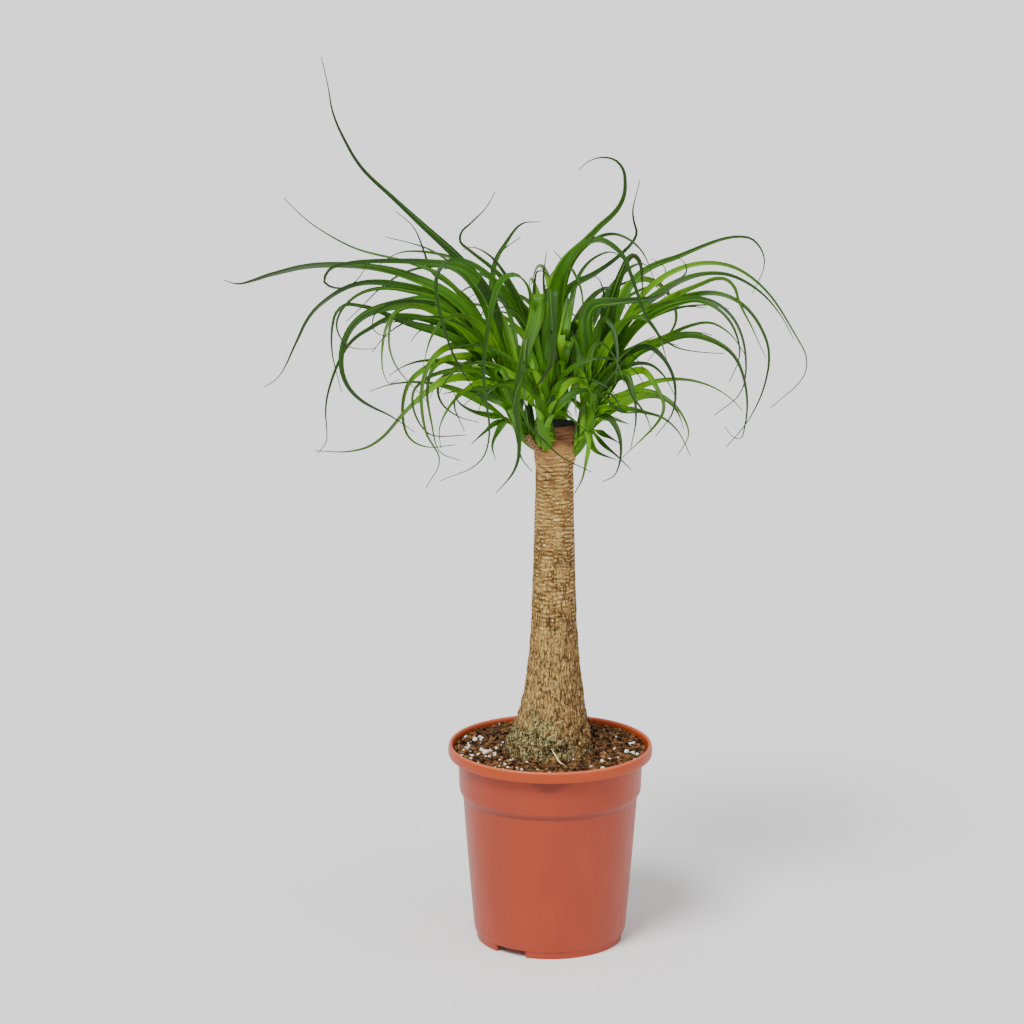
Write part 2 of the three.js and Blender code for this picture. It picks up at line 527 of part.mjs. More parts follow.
// A leaf's points from its root in the shoot, for a route read by eye
function readRoute(heart, [, depths, route]) {
  const steps = route.map(([x, z], i) => (i ? Math.hypot(x - route[i - 1][0], z - route[i - 1][1]) : 0));
  const total = steps.reduce((sum, step) => sum + step, 0);
  let run = 0;
  const points = route.map(([x, z], i) => {
    run += steps[i];
    return seen(x, z, along(depths, run / total));
  });
  const lean = points[Math.floor(points.length / 2)].clone().sub(heart);
  const launch = points[Math.min(2, points.length - 1)].clone().sub(heart);
  const climb = Math.atan2(launch.z, Math.hypot(launch.x, launch.y));
  const room = smooth(points[0].z, heart.z + ROOT_RISE / 3, heart.z + 2 * ROOT_RISE);
  return [rootOf(heart, Math.atan2(lean.y, lean.x), room * smooth(climb, 0.5, 1.4)), ...points];
}

// A leaf's points for a leaf placed by rule: it rises, arches over and hangs
function ruledRoute(root, direction, length, rise, hang, curl) {
  const points = [];
  const step = length / RULED_STEPS;
  const point = root.clone();
  let turn = direction;
  for (let i = 0; i <= RULED_STEPS; i += 1) {
    const lean = mix(rise, hang, (i / RULED_STEPS) ** ARCH);
    points.push(point.clone());
    turn += curl / RULED_STEPS;
    point.x += step * Math.sin(lean) * Math.cos(turn);
    point.y += step * Math.sin(lean) * Math.sin(turn);
    point.z += step * Math.cos(lean);
  }
  return points;
}

// The width along a leaf, as a share of its widest
function widthShare(share) {
  const swell = Math.sin(Math.PI / 2 * Math.min(share / WIDEST_AT, 2));
  return (ROOT_WIDTH + (1 - ROOT_WIDTH) * swell) * (1 - share ** TAPER);
}

function makeLeaf(width, knots) {
  const curve = new THREE.CatmullRomCurve3(knots);
  const points = curve.getSpacedPoints(SAMPLES);
  const halves = points.map((_, i) => Math.max(width / 2 * widthShare(i / SAMPLES), THINNEST_HALF));
  return { points, halves };
}

// Bends a leaf in depth until it is clear of the trunk and of the leaves of the other shoots
function bendClear(leaf, others) {
  for (let pass = 0; pass < CLEARING_PASSES; pass += 1) {
    const push = leaf.points.map((p, i) => {
      const half = leaf.halves[i];
      let most = 0;
      if (p.z < TRUNK_REACH && i > 4) {
        const across = p.x - atHeight(TRUNK_OUTLINE, p.z, 2);
        const reach = atHeight(TRUNK_OUTLINE, p.z, 1) + half + CLEAR;
        const short = reach - Math.hypot(across, p.y);
        most = short > 0 ? short * Math.sign(p.y) : 0;
      }
      for (const other of others) {
        for (let j = 0; j <= SAMPLES; j += 1) {
          const q = other.points[j];
          const need = half + other.halves[j] + CLEAR;
          if (Math.abs(p.x - q.x) < need && Math.abs(p.z - q.z) < need && Math.abs(p.y - q.y) < need) {
            const short = need - p.distanceTo(q);
            if (short > Math.abs(most)) {
              most = short * (p.y >= q.y ? 1 : -1);
            }
          }
        }
      }
      return most;
    });
    if (push.every((value) => value === 0)) {
      return;
    }
    leaf.points.forEach((p, i) => {
      let shift = 0;
      for (let k = -SPREAD; k <= SPREAD; k += 1) {
        const value = (push[i + k] ?? 0) * Math.cos(k / (SPREAD + 1) * Math.PI / 2) ** 2;
        shift = Math.abs(value) > Math.abs(shift) ? value : shift;
      }
      p.addScaledVector(sight(p), shift * smooth(i, 2, 8));
    });
  }
}

// The direction across the blade at each point, turned so that some of its face shows to the front
function acrossOf(leaf) {
  const { points } = leaf;
  const far = points.slice(SAMPLES / 2).reduce((sum, p) => sum.add(p), new Vector3())
    .divideScalar(SAMPLES / 2 + 1);
  const out = far.sub(points[0]).setZ(0).normalize();
  const facing = THREE.MathUtils.radToDeg(Math.asin(Math.abs(out.y)));
  const turn = radians(Math.max(FACING - facing, 0)) * Math.sign(out.x);
  let across = new Vector3(-out.y, out.x, 0);
  return points.map((p, i) => {
    const tangent = points[Math.min(i + 1, SAMPLES)].clone().sub(points[Math.max(i - 1, 0)]).normalize();
    across = across.clone().addScaledVector(tangent, -across.dot(tangent)).normalize();
    return { tangent, across: across.clone().applyAxisAngle(tangent, turn * smooth(i, 2, 16)) };
  });
}

// A keeled blade: flat above, with a rib below, tapering to its tip
function blade(leaf) {
  const frames = acrossOf(leaf);
  const chosen = [0];
  let bend = 0;
  for (let i = 1; i < SAMPLES; i += 1) {
    bend += frames[i].tangent.angleTo(frames[i - 1].tangent);
    if (bend > STEP_BEND || i - chosen.at(-1) >= STEP_SAMPLES) {
      chosen.push(i);
      bend = 0;
    }
  }
  chosen.push(SAMPLES);
  const rings = chosen.map((i) => {
    const { tangent, across } = frames[i];
    const point = leaf.points[i];
    const half = leaf.halves[i];
    const under = across.clone().cross(tangent);
    return [
      point.clone().addScaledVector(across, -half),
      point.clone().addScaledVector(under, KEEL_BASE + KEEL_SHARE * 2 * half),
      point.clone().addScaledVector(across, half),
    ];
  });
  return solidOf(skin(rings));
}

// A closed skin over three-sided rings, with a face at each end
function skin(rings) {
  const positions = rings.flat().flatMap((p) => [p.x, p.y, p.z]);
  const faces = [0, 2, 1];
  for (let i = 0; i + 1 < rings.length; i += 1) {
    for (let j = 0; j < 3; j += 1) {
      const a = i * 3 + j;
      const b = i * 3 + (j + 1) % 3;
      faces.push(a, b, b + 3, a, b + 3, a + 3);
    }
  }
  const last = 3 * (rings.length - 1);
  faces.push(last, last + 1, last + 2);
  const geometry = new THREE.BufferGeometry();
  geometry.setAttribute('position', new THREE.Float32BufferAttribute(positions, 3));
  geometry.setIndex(faces);
  return geometry;
}

// Every shoot's leaves, each shoot bent clear of the ones before it
function growLeaves() {
  const grown = {};
  const before = [];
  for (const [name, rows] of Object.entries(LEAVES)) {
    const heart = new Vector3(...SHOOTS[name].heart);
    const leaves = rows.map((row) => makeLeaf(SLANT * row[0], readRoute(heart, row)));
    const { count, from, to, shortest, longest, seed } = RULED[name];
    const draw = draws(seed);
    for (let i = 0; i < count; i += 1) {
      const direction = radians(mix(from, to, (i + 0.2 + 0.6 * draw()) / count));
      const tier = (i * 5) % 7 / 6;
      const length = mix(shortest, longest, draw());
      const rise = radians(mix(RULED_RISE.least, RULED_RISE.most, tier) + RULED_RISE.spread * draw());
      const hang = radians(mix(RULED_HANG.least, RULED_HANG.most, draw()));
      const curl = radians(RULED_CURL * (draw() - 0.5));
      const root = rootOf(heart, direction, 1 - tier);
      const width = mix(RULED_WIDTH.narrowest, RULED_WIDTH.widest, draw());
      leaves.push(makeLeaf(width, ruledRoute(root, direction, length, rise, hang, curl)));
    }
    leaves.forEach((leaf) => bendClear(leaf, before));
    before.push(...leaves);
    grown[name] = leaves;
  }
  return grown;
}

function named(name, solid, finish) {
  const material = new THREE.MeshStandardMaterial({ metalness: 0, ...finish });
  const mesh = new THREE.Mesh(geometryOf(solid), material);
  mesh.name = name;
  return mesh;
}

const trunk = makeTrunk(0);
const trunkHollow = makeTrunk(GAP);
const palm = new THREE.Group();
palm.add(named('pot', makePot(), FINISHES.pot));
palm.add(named('soil', makeSoil(trunkHollow), FINISHES.soil));
palm.add(named('trunk', trunk, FINISHES.trunk));

const dryStub = stem(DRY_STUB, STUB_SIDES);
palm.add(named('dry_stub', dryStub.subtract(trunkHollow), FINISHES.dry_stub));

for (const [name, leaves] of Object.entries(growLeaves())) {
  const core = stem(SHOOTS[name].core, CORE_SIDES).subtract(trunkHollow);
  const head = onePiece(wasm.Manifold.union([core, ...leaves.map(blade)]));
  palm.add(named(name, head, FINISHES.leaf));
}

export default palm;
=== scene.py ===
"""A ponytail palm in a plastic nursery pot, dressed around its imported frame."""

import logging
import math
from dataclasses import dataclass, field
from enum import Enum
from functools import cache

import bpy
import numpy as np
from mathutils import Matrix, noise

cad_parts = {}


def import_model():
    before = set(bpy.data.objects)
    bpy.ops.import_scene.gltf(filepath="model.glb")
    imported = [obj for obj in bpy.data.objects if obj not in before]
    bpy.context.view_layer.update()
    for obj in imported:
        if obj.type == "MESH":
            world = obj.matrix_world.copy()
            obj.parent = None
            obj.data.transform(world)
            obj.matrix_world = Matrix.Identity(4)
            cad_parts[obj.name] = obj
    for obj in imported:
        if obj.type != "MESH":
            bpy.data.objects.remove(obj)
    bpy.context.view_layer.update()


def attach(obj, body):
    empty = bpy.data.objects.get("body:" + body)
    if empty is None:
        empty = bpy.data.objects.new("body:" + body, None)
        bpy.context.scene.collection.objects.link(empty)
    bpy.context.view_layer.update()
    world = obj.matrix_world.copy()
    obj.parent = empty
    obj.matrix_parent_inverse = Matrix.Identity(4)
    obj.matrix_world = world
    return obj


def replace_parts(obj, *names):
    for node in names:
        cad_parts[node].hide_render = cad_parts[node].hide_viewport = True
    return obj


LOG = logging.getLogger("palm")
MM = 0.001

Socket = bpy.types.NodeSocket
Colour = tuple[float, float, float, float]
Faces = list[tuple[int, ...]]

# A closed skin: its points, one a row, and its faces as row numbers
Skin = tuple[np.ndarray, Faces]

# The spot that the leaf routes are seen from, in millimetres like every size below
VIEWPOINT = np.array((-39.3, -3090.0, 1149.0))

# Leaves read one by one: the widest width, the depths from root to tip, and the route [across, up] as seen
# from the viewpoint in the upright plane through the trunk.
READ_LEAVES: dict[str, list] = {
    "head_front": [
        [9, [-30, -70, -110, -128], [[-13, 585], [-19, 612], [-28, 640], [-43, 667], [-62, 689], [-80, 702],
         [-97, 706], [-108, 701], [-114, 689], [-114, 672], [-110, 650], [-99, 614], [-86, 589],
         [-68, 563]]],
        [11, [-32, -76, -120, -138], [[-11, 585], [-16, 620], [-20, 655], [-24, 679], [-33, 690], [-44, 690],
         [-52, 681], [-58, 662], [-63, 635], [-67, 606], [-66, 571], [-62, 540], [-64, 517], [-73, 500],
         [-112, 482]]],
        [7, [-28, -48, -62, -70], [[-12, 600], [-25, 645], [-41, 678], [-58, 697], [-78, 713], [-91, 725],
         [-90, 733], [-80, 743], [-65, 758], [-56, 774]]],
        [8, [-26, -52, -80], [[-12, 600], [-27, 655], [-49, 696], [-62, 711], [-79, 719], [-88, 716]]],
        [8, [-22, -30, -34], [[-12, 610], [-16, 650], [-17, 682], [-13, 696], [0, 688]]],
        [15, [-34, -56, -78, -102, -112], [[-11, 600], [-12, 640], [-13, 677], [-14, 666], [-15, 648],
         [-19, 636], [-26, 613], [-31, 591], [-36, 565], [-33, 540], [-33, 505], [-39, 489], [-56, 469]]],
        [15, [-34, -62, -84, -98, -106], [[-5, 600], [-2, 640], [1, 679], [1, 666], [2, 648], [2, 630],
         [0, 602], [-8, 588], [-25, 565]]],
        [11, [-28, -36, -62, -70], [[-6, 590], [-2, 640], [3, 680], [14, 705], [31, 722], [49, 741],
         [64, 755], [72, 773], [69, 799], [58, 807], [40, 806], [26, 795]]],
        [8, [-18, -34, -38, -30], [[0, 600], [8, 663], [20, 680], [40, 691], [58, 703], [75, 718], [84, 731],
         [80, 752], [87, 786]]],
        [7, [-28, -66, -98], [[5, 640], [15, 699], [27, 718], [43, 727], [58, 722], [71, 710], [80, 688],
         [93, 653], [107, 631], [123, 619], [144, 614], [172, 612]]],
        [8, [-30, -46, -72], [[8, 660], [20, 703], [40, 725], [58, 732], [74, 728], [90, 714], [102, 686]]],
        [6, [-34, -62, -92], [[4, 640], [12, 688], [18, 698], [24, 690], [30, 673], [32, 630]]],
        [5, [-30, -46, -54], [[-1, 545], [8, 552], [20, 546], [38, 531]]],
        [9, [-32, -60, -96], [[-8, 600], [-13, 642], [-17, 655], [-22, 642], [-27, 610], [-25, 585]]],
    ],
    "head_left": [
        [8, [-8, -20, -34, -40], [[-62, 670], [-92, 707], [-124, 737], [-155, 766], [-188, 798], [-205, 827],
         [-215, 851], [-220, 880], [-226, 906]]],
        [5, [0, 16, 44], [[-75, 650], [-110, 690], [-140, 703], [-190, 716], [-210, 725], [-240, 744],
         [-265, 768]]],
        [8, [-10, -34, -30], [[-60, 612], [-73, 638], [-90, 661], [-111, 677], [-134, 687], [-158, 695],
         [-190, 700], [-240, 700], [-280, 691], [-312, 682], [-326, 686]]],
        [9, [-4, -30, -56, -70], [[-60, 665], [-85, 696], [-118, 703], [-160, 705], [-200, 703], [-220, 697],
         [-227, 688], [-221, 679], [-205, 679], [-192, 687], [-182, 706]]],
        [8, [-6, -16, -40], [[-70, 640], [-88, 660], [-127, 675], [-158, 682], [-177, 684], [-200, 680],
         [-220, 669], [-240, 651], [-257, 618], [-272, 589], [-287, 578]]],
        [7, [-8, -60, -100], [[-90, 655], [-113, 668], [-140, 675], [-165, 678], [-187, 674], [-203, 663],
         [-214, 645], [-211, 629], [-200, 618], [-175, 617]]],
        [8, [-10, -60, -88], [[-70, 608], [-90, 624], [-110, 633], [-137, 641], [-159, 649], [-181, 658],
         [-209, 660], [-217, 645], [-219, 615], [-210, 573]]],
        [12, [-12, -76, -118], [[-72, 613], [-88, 636], [-106, 656], [-125, 664], [-148, 662], [-175, 656],
         [-190, 648], [-203, 633], [-210, 608], [-206, 583], [-190, 564], [-160, 548], [-137, 532]]],
        [7, [-12, -50, -84], [[-72, 612], [-91, 630], [-113, 643], [-137, 649], [-159, 649], [-180, 638],
         [-200, 624], [-214, 600], [-225, 565], [-226, 540], [-224, 526], [-235, 510]]],
        [8, [-12, -90, -140], [[-76, 623], [-91, 640], [-113, 652], [-138, 660], [-155, 654], [-165, 637],
         [-169, 600], [-163, 582], [-152, 586]]],
        [6, [-12, -100, -156], [[-80, 632], [-115, 654], [-145, 658], [-158, 648], [-162, 622], [-155, 599],
         [-125, 564]]],
        [6, [-6, -70, -132], [[-85, 645], [-125, 664], [-160, 662], [-176, 652], [-177, 635], [-164, 629]]],
        [5, [4, 36, 66], [[-75, 675], [-100, 698], [-124, 699], [-147, 693], [-171, 677], [-190, 658],
         [-205, 644]]],
        [6, [2, 20, 14], [[-80, 662], [-105, 684], [-119, 694], [-127, 716], [-137, 739], [-155, 755]]],
        [6, [8, 56, 96], [[-50, 620], [-70, 672], [-95, 699], [-120, 716], [-140, 723], [-165, 729]]],
        [7, [8, 70, 126], [[-50, 625], [-70, 680], [-92, 705], [-124, 714], [-152, 713], [-172, 700]]],
        [10, [-4, 12, 40], [[-54, 640], [-59, 680], [-56, 704], [-46, 722], [-30, 742], [-11, 744]]],
        [7, [0, 24, 60], [[-45, 610], [-58, 655], [-60, 690], [-53, 711], [-31, 729]]],
        [5, [-22, -44, -60], [[-42, 556], [-37, 545], [-33, 520], [-30, 506], [-19, 491]]],
        [5, [-14, -56, -60, -52], [[-56, 590], [-52, 598], [-43, 584], [-33, 562], [-21, 537], [-9, 525],
         [10, 507], [41, 491]]],
        [7, [-10, -46, -80], [[-52, 579], [-68, 585], [-90, 588], [-110, 583], [-128, 570], [-148, 551],
         [-168, 528], [-184, 517], [-206, 512], [-238, 513]]],
        [6, [-12, -64, -116], [[-64, 602], [-84, 610], [-103, 607], [-118, 597], [-124, 575], [-120, 542],
         [-112, 512], [-91, 503]]],
        [7, [-12, -80, -124], [[-67, 613], [-86, 620], [-104, 618], [-119, 606], [-128, 585], [-130, 560],
         [-125, 530], [-112, 503], [-126, 475]]],
        [5, [-12, -70, -104], [[-62, 591], [-82, 595], [-105, 594], [-124, 587], [-138, 573], [-137, 552],
         [-122, 530], [-85, 529]]],
        [7, [8, 60, 112], [[-65, 603], [-90, 609], [-118, 601], [-141, 584], [-149, 556], [-143, 527],
         [-126, 517], [-96, 519]]],
        [6, [-14, -64, -94], [[-60, 579], [-74, 582], [-88, 573], [-102, 558], [-112, 536], [-111, 516]]],
        [8, [-14, -6, 18], [[-46, 560], [-60, 567], [-76, 572], [-92, 574], [-109, 571]]],
        [6, [6, 56, 84], [[-62, 602], [-78, 603], [-97, 596], [-113, 580], [-110, 562], [-93, 548],
         [-72, 542]]],
        [6, [-16, -44, -66], [[-48, 547], [-61, 549], [-80, 554], [-93, 563], [-98, 574]]],
        [5, [-14, -30, -52], [[-46, 542], [-56, 541], [-66, 533], [-80, 520]]],
        [6, [12, 50, 74], [[-50, 568], [-70, 576], [-92, 572], [-97, 560], [-87, 533]]],
        [6, [-16, -32, -50], [[-44, 545], [-54, 532], [-59, 518], [-56, 504]]],
        [9, [-18, -64, -104], [[-58, 620], [-72, 641], [-90, 650], [-108, 645], [-120, 628], [-128, 600]]],
    ],
    "head_right": [
        [15, [-12, -34, -58], [[50, 600], [60, 660], [70, 694], [80, 711], [87, 705], [91, 670]]],
        [7, [-8, -14, 0], [[43, 570], [49, 614], [50, 650], [52, 672], [45, 689], [36, 690]]],
        [12, [-20, -44, -44, -30], [[35, 620], [34, 648], [41, 661], [60, 664], [85, 666], [105, 669],
         [120, 680], [135, 698], [125, 709]]],
        [7, [0, 26, 60], [[62, 640], [81, 685], [100, 700], [124, 709], [150, 720], [174, 728], [196, 728],
         [208, 716], [211, 700], [199, 672]]],
        [5, [-8, -24, -44], [[70, 640], [92, 673], [114, 691], [138, 701], [161, 703], [183, 698], [204, 684],
         [221, 666], [240, 636], [255, 607], [252, 588], [219, 556]]],
        [8, [-4, 10, 36], [[75, 645], [103, 670], [127, 685], [150, 692], [172, 692], [191, 685], [212, 670],
         [230, 648], [242, 626]]],
        [8, [-12, -48, -84], [[80, 635], [115, 666], [144, 680], [168, 688], [180, 682], [187, 663],
         [199, 640], [214, 608]]],
        [6, [-12, -60, -104], [[85, 640], [115, 662], [145, 672], [168, 672], [188, 663], [204, 646],
         [217, 615], [212, 575], [195, 540], [176, 517]]],
        [6, [-12, -70, -124], [[80, 635], [110, 659], [140, 668], [165, 662], [184, 643], [194, 610],
         [190, 573], [163, 549]]],
        [8, [-14, -84, -136], [[75, 627], [100, 651], [125, 662], [147, 665], [168, 655], [182, 637],
         [188, 610], [178, 583]]],
        [7, [-14, -94, -146], [[80, 610], [110, 627], [141, 641], [159, 643], [178, 632], [194, 610]]],
        [7, [0, 60, 124], [[81, 608], [105, 622], [135, 631], [163, 624], [182, 610], [193, 585], [196, 550],
         [188, 523], [174, 538]]],
        [6, [-14, -56, -90], [[46, 580], [63, 602], [79, 617], [104, 630]]],
        [8, [4, 60, 110], [[60, 645], [76, 680], [89, 687], [105, 683], [118, 669], [124, 645], [96, 604]]],
        [7, [6, 60, 86], [[46, 600], [66, 660], [88, 676], [108, 683], [113, 697], [99, 708]]],
        [7, [-14, -68, -110], [[65, 603], [80, 615], [97, 619], [112, 607], [123, 584], [122, 553],
         [105, 528]]],
        [7, [-6, 50, 90], [[46, 575], [62, 590], [80, 601], [98, 601], [112, 590], [124, 569]]],
        [7, [-16, -80, -112], [[62, 583], [79, 593], [93, 594], [104, 580], [113, 558], [108, 544],
         [71, 505]]],
        [6, [-14, -58, -90], [[46, 555], [58, 564], [75, 571], [93, 574], [111, 569], [127, 556], [138, 530],
         [127, 508]]],
        [5, [-14, -70, -102], [[47, 550], [58, 555], [76, 556], [95, 552], [113, 546], [128, 532],
         [140, 508]]],
        [5, [-14, -38, -60], [[46, 533], [56, 528], [70, 520]]],
        [4, [-14, -44, -60], [[45, 528], [53, 519], [67, 507], [81, 493]]],
        [5, [-14, -36, -50], [[40, 522], [46, 512], [67, 503]]],
        [4, [-18, -34, -46], [[38, 522], [35, 500], [31, 483], [22, 466]]],
        [7, [-18, -62, -84], [[47, 570], [60, 583], [73, 587], [82, 568], [95, 549], [101, 532]]],
        [6, [-16, -50, -62], [[46, 562], [58, 572], [67, 562], [71, 550]]],
        [6, [-16, -52, -76], [[46, 570], [62, 588], [75, 592], [82, 575], [85, 545], [80, 515]]],
        [5, [-16, -42, -56], [[46, 547], [57, 547], [67, 533], [70, 508], [64, 488], [52, 481]]],
        [7, [-6, 22, 50], [[46, 545], [56, 547], [79, 540]]],
        [7, [-14, -42, -52], [[46, 552], [58, 557], [75, 552], [91, 552]]],
        [10, [-16, -40, -62], [[42, 562], [54, 582], [68, 600], [78, 612]]],
        [8, [-18, -32, -48], [[34, 572], [29, 592], [26, 596], [24, 580], [25, 548]]],
        [6, [-6, 6, 14], [[33, 552], [25, 562], [10, 573], [0, 571]]],
        [10, [-14, -58, -96], [[44, 590], [56, 622], [74, 646], [92, 648], [106, 632], [116, 603]]],
        [9, [-16, -50, -88], [[41, 590], [44, 625], [52, 647], [60, 640], [66, 612], [64, 580]]],
    ],
    "head_back": [
        [8, [30, 46, 60], [[4, 600], [-4, 650], [-8, 690], [-5, 714]]],
        [8, [32, 56, 70], [[8, 610], [14, 670], [12, 702], [2, 716]]],
        [8, [34, 60, 90], [[10, 600], [18, 655], [28, 692], [42, 708], [60, 714], [74, 704]]],
        [5, [30, 36, 42], [[2, 552], [6, 556], [15, 555], [21, 548]]],
    ],
}

# Those of them whose tone was read too, by number: 0 is the deepest green and 1 the brightest
READ_TONES: dict[str, dict[int, float]] = {
    "head_front": {0: 0.3, 1: 0.3, 5: 0.6, 6: 0.35, 7: 0.4, 8: 0.25, 9: 0.3},
    "head_left": {2: 0.4, 3: 0.3, 4: 0.3, 7: 0.35},
    "head_right": {0: 0.05, 2: 0.35},
}

# Those that are turned to the front more or less than the others, by number: a share of the others' turn
READ_TURNS: dict[str, dict[int, float]] = {"head_front": {0: 0.7, 1: 0.3}, "head_right": {2: 1.13}}

# Those that hold their width far out, by number: the power of their taper
READ_TAPERS: dict[str, dict[int, float]] = {"head_left": {2: 7.0, 4: 2.8}}


class Slot(Enum):
    """The record's material slots."""

    POT = "pot_plastic"
    SOIL = "potting_soil"
    BARK = "bark"
    DRY = "dry_wood"
    LEAF = "leaf"


def srgb(red: float, green: float, blue: float) -> Colour:
    """Turns a colour of 0 to 255 as a screen shows it into a linear colour with an alpha of 1."""
    shares = (red / 255, green / 255, blue / 255)
    linear = [share / 12.92 if share <= 0.04045 else ((share + 0.055) / 1.055) ** 2.4 for share in shares]
    return (*linear, 1.0)


def smoothstep(value: np.ndarray | float, low: float, high: float) -> np.ndarray:
    """Rises smoothly from 0 at low to 1 at high, or falls where low is the larger."""
    share = np.clip((np.asarray(value, float) - low) / (high - low), 0, 1)
    return share * share * (3 - 2 * share)


def circle(count: int) -> np.ndarray:
    """Directions at even steps round a full turn, in radians."""
    return np.linspace(0, 2 * math.pi, count, endpoint=False)


def level(angle: float) -> np.ndarray:
    """The level direction at an angle from +X, in radians."""
    return np.array((math.cos(angle), math.sin(angle), 0))


def unit(vectors: np.ndarray) -> np.ndarray:
    """A vector, or one a row, at a length of 1."""
    return vectors / np.linalg.norm(vectors, axis=-1, keepdims=True)


def at_height(places: np.ndarray, height: np.ndarray | float) -> np.ndarray:
    """Places [x, y] or points as points at a height, or each at its own."""
    return np.column_stack((places[:, :2], np.full(len(places), height)))


def spun(points: np.ndarray, angle: float, first: int, second: int) -> np.ndarray:
    """Points turned by an angle in radians, from one axis towards another."""
    made = points.copy()
    made[:, first] = math.cos(angle) * points[:, first] - math.sin(angle) * points[:, second]
    made[:, second] = math.sin(angle) * points[:, first] + math.cos(angle) * points[:, second]
    return made


def softened(values: np.ndarray, reach: int) -> np.ndarray:
    """Values that each take in their neighbours up to a reach away."""
    weights = np.hanning(2 * reach + 3)[1:-1] / (reach + 1)
    return np.convolve(np.pad(values, reach, mode="edge"), weights, mode="valid")


def run_along(line: np.ndarray) -> np.ndarray:
    """The distance along a line at each of its points."""
    return np.concatenate(([0], np.cumsum(np.linalg.norm(np.diff(line, axis=0), axis=1))))


def sight(points: np.ndarray) -> np.ndarray:
    """The lines of sight through points, each one millimetre deep."""
    line = points - VIEWPOINT
    return line / line[..., 1:2]


def perlin(points: np.ndarray, size: float, shift: float = 0.0) -> np.ndarray:
    """Smooth noise at points.

    Args:
        points: Points, one a row.
        size: The size of a lump, in the points' unit.
        shift: A shift, so that two layers differ.

    Returns:
        A value from about -1 to 1 for each point.
    """
    places = (np.asarray(points) / size + shift).tolist()
    return np.array([noise.noise(place) for place in places])


def plates(points: np.ndarray, size: float, crack: float = 0.22) -> tuple[np.ndarray, np.ndarray]:
    """Cells like cracked cork.

    Args:
        points: Points, one a row.
        size: The size of a cell.
        crack: The width of a crack, as a share of a cell.

    Returns:
        How near each point is to a crack, 1 at the crack, and a value that each cell has to itself.
    """
    near, own = [], []
    for place in (np.asarray(points) / size).tolist():
        distances, centres = noise.voronoi(place)
        near.append(1 - min((distances[1] - distances[0]) / crack, 1))
        own.append(noise.noise(centres[0] * 3.7))
    return np.array(near), np.array(own)


def grid_faces(rows: int, columns: int) -> Faces:
    """Faces over rows of points that are loops.

    Args:
        rows: The number of rows.
        columns: The number of points in a row.

    Returns:
        Faces that point outwards where the loops are counter-clockwise and the first is at the bottom.
    """
    faces = []
    for i in range(rows - 1):
        for j in range(columns):
            a, b = i * columns + j, i * columns + (j + 1) % columns
            faces.append((a, b, b + columns, a + columns))
    return faces


def capped(rows: int, columns: int) -> Faces:
    """Faces over rows of points that are loops, and one over each end."""
    count = rows * columns
    return grid_faces(rows, columns) + [tuple(reversed(range(columns))), tuple(range(count - columns, count))]


def pointed(rows: int, columns: int) -> Faces:
    """Faces over rows of loops, closed by two more points: one below the first row, one above the last."""
    low, last = rows * columns, (rows - 1) * columns
    steps = [(j, (j + 1) % columns) for j in range(columns)]
    ends = [(low, b, a) for a, b in steps] + [(low + 1, last + a, last + b) for a, b in steps]
    return grid_faces(rows, columns) + ends


def tube(spots: np.ndarray, tangents: np.ndarray, radii: np.ndarray) -> Skin:
    """A skin round a line.

    Args:
        spots: Points on the line, one a row.
        tangents: The line's direction at each, with a length of 1.
        radii: How far the skin reaches from each, a row of values round the line.

    Returns:
        The skin.
    """
    turn = circle(radii.shape[1])[:, None]
    sides = unit(np.cross((0, 1, 0), tangents))
    others = np.cross(tangents, sides)
    reach = radii[..., None] * (sides[:, None] * np.cos(turn) + others[:, None] * np.sin(turn))
    return (spots[:, None] + reach).reshape(-1, 3), capped(*radii.shape)


@cache
def ball() -> Skin:
    """A ball with a radius of 1: an icosahedron, each of its faces cut into four."""
    golden = (1 + math.sqrt(5)) / 2
    corners = np.array([
        (-1, golden, 0), (1, golden, 0), (-1, -golden, 0), (1, -golden, 0),
        (0, -1, golden), (0, 1, golden), (0, -1, -golden), (0, 1, -golden),
        (golden, 0, -1), (golden, 0, 1), (-golden, 0, -1), (-golden, 0, 1)]) / math.hypot(1, golden)
    faces = [
        (0, 11, 5), (0, 5, 1), (0, 1, 7), (0, 7, 10), (0, 10, 11), (1, 5, 9), (5, 11, 4), (11, 10, 2),
        (10, 7, 6), (7, 1, 8), (3, 9, 4), (3, 4, 2), (3, 2, 6), (3, 6, 8), (3, 8, 9), (4, 9, 5),
        (2, 4, 11), (6, 2, 10), (8, 6, 7), (9, 8, 1)]
    points, middles, finer = list(corners), {}, []
    for a, b, c in faces:
        for pair in ((a, b), (b, c), (c, a)):
            if frozenset(pair) not in middles:
                middles[frozenset(pair)] = len(points)
                points.append(unit((points[pair[0]] + points[pair[1]]) / 2))
        ab, bc, ca = (middles[frozenset(pair)] for pair in ((a, b), (b, c), (c, a)))
        finer += [(a, ab, ca), (b, bc, ab), (c, ca, bc), (ab, bc, ca)]
    return np.array(points), finer


def rounded(corners: list[tuple[float, float, float]], steps: int = 5) -> np.ndarray:
    """A line through corners, each rounded.

    Args:
        corners: Each corner as (x, y, radius of its rounding).
        steps: The points on each rounded corner.

    Returns:
        The line's points.
    """
    line = []
    for i, (x, y, radius) in enumerate(corners):
        here = np.array((x, y))
        if radius == 0 or i in (0, len(corners) - 1):
            line.append(here)
            continue
        before = np.array(corners[i - 1][:2]) - here
        after = np.array(corners[i + 1][:2]) - here
        reach = min(radius, 0.45 * np.linalg.norm(before), 0.45 * np.linalg.norm(after))
        start, end = here + unit(before) * reach, here + unit(after) * reach
        for t in np.linspace(0, 1, steps):
            line.append((1 - t) ** 2 * start + 2 * t * (1 - t) * here + t ** 2 * end)
    return np.array(line)


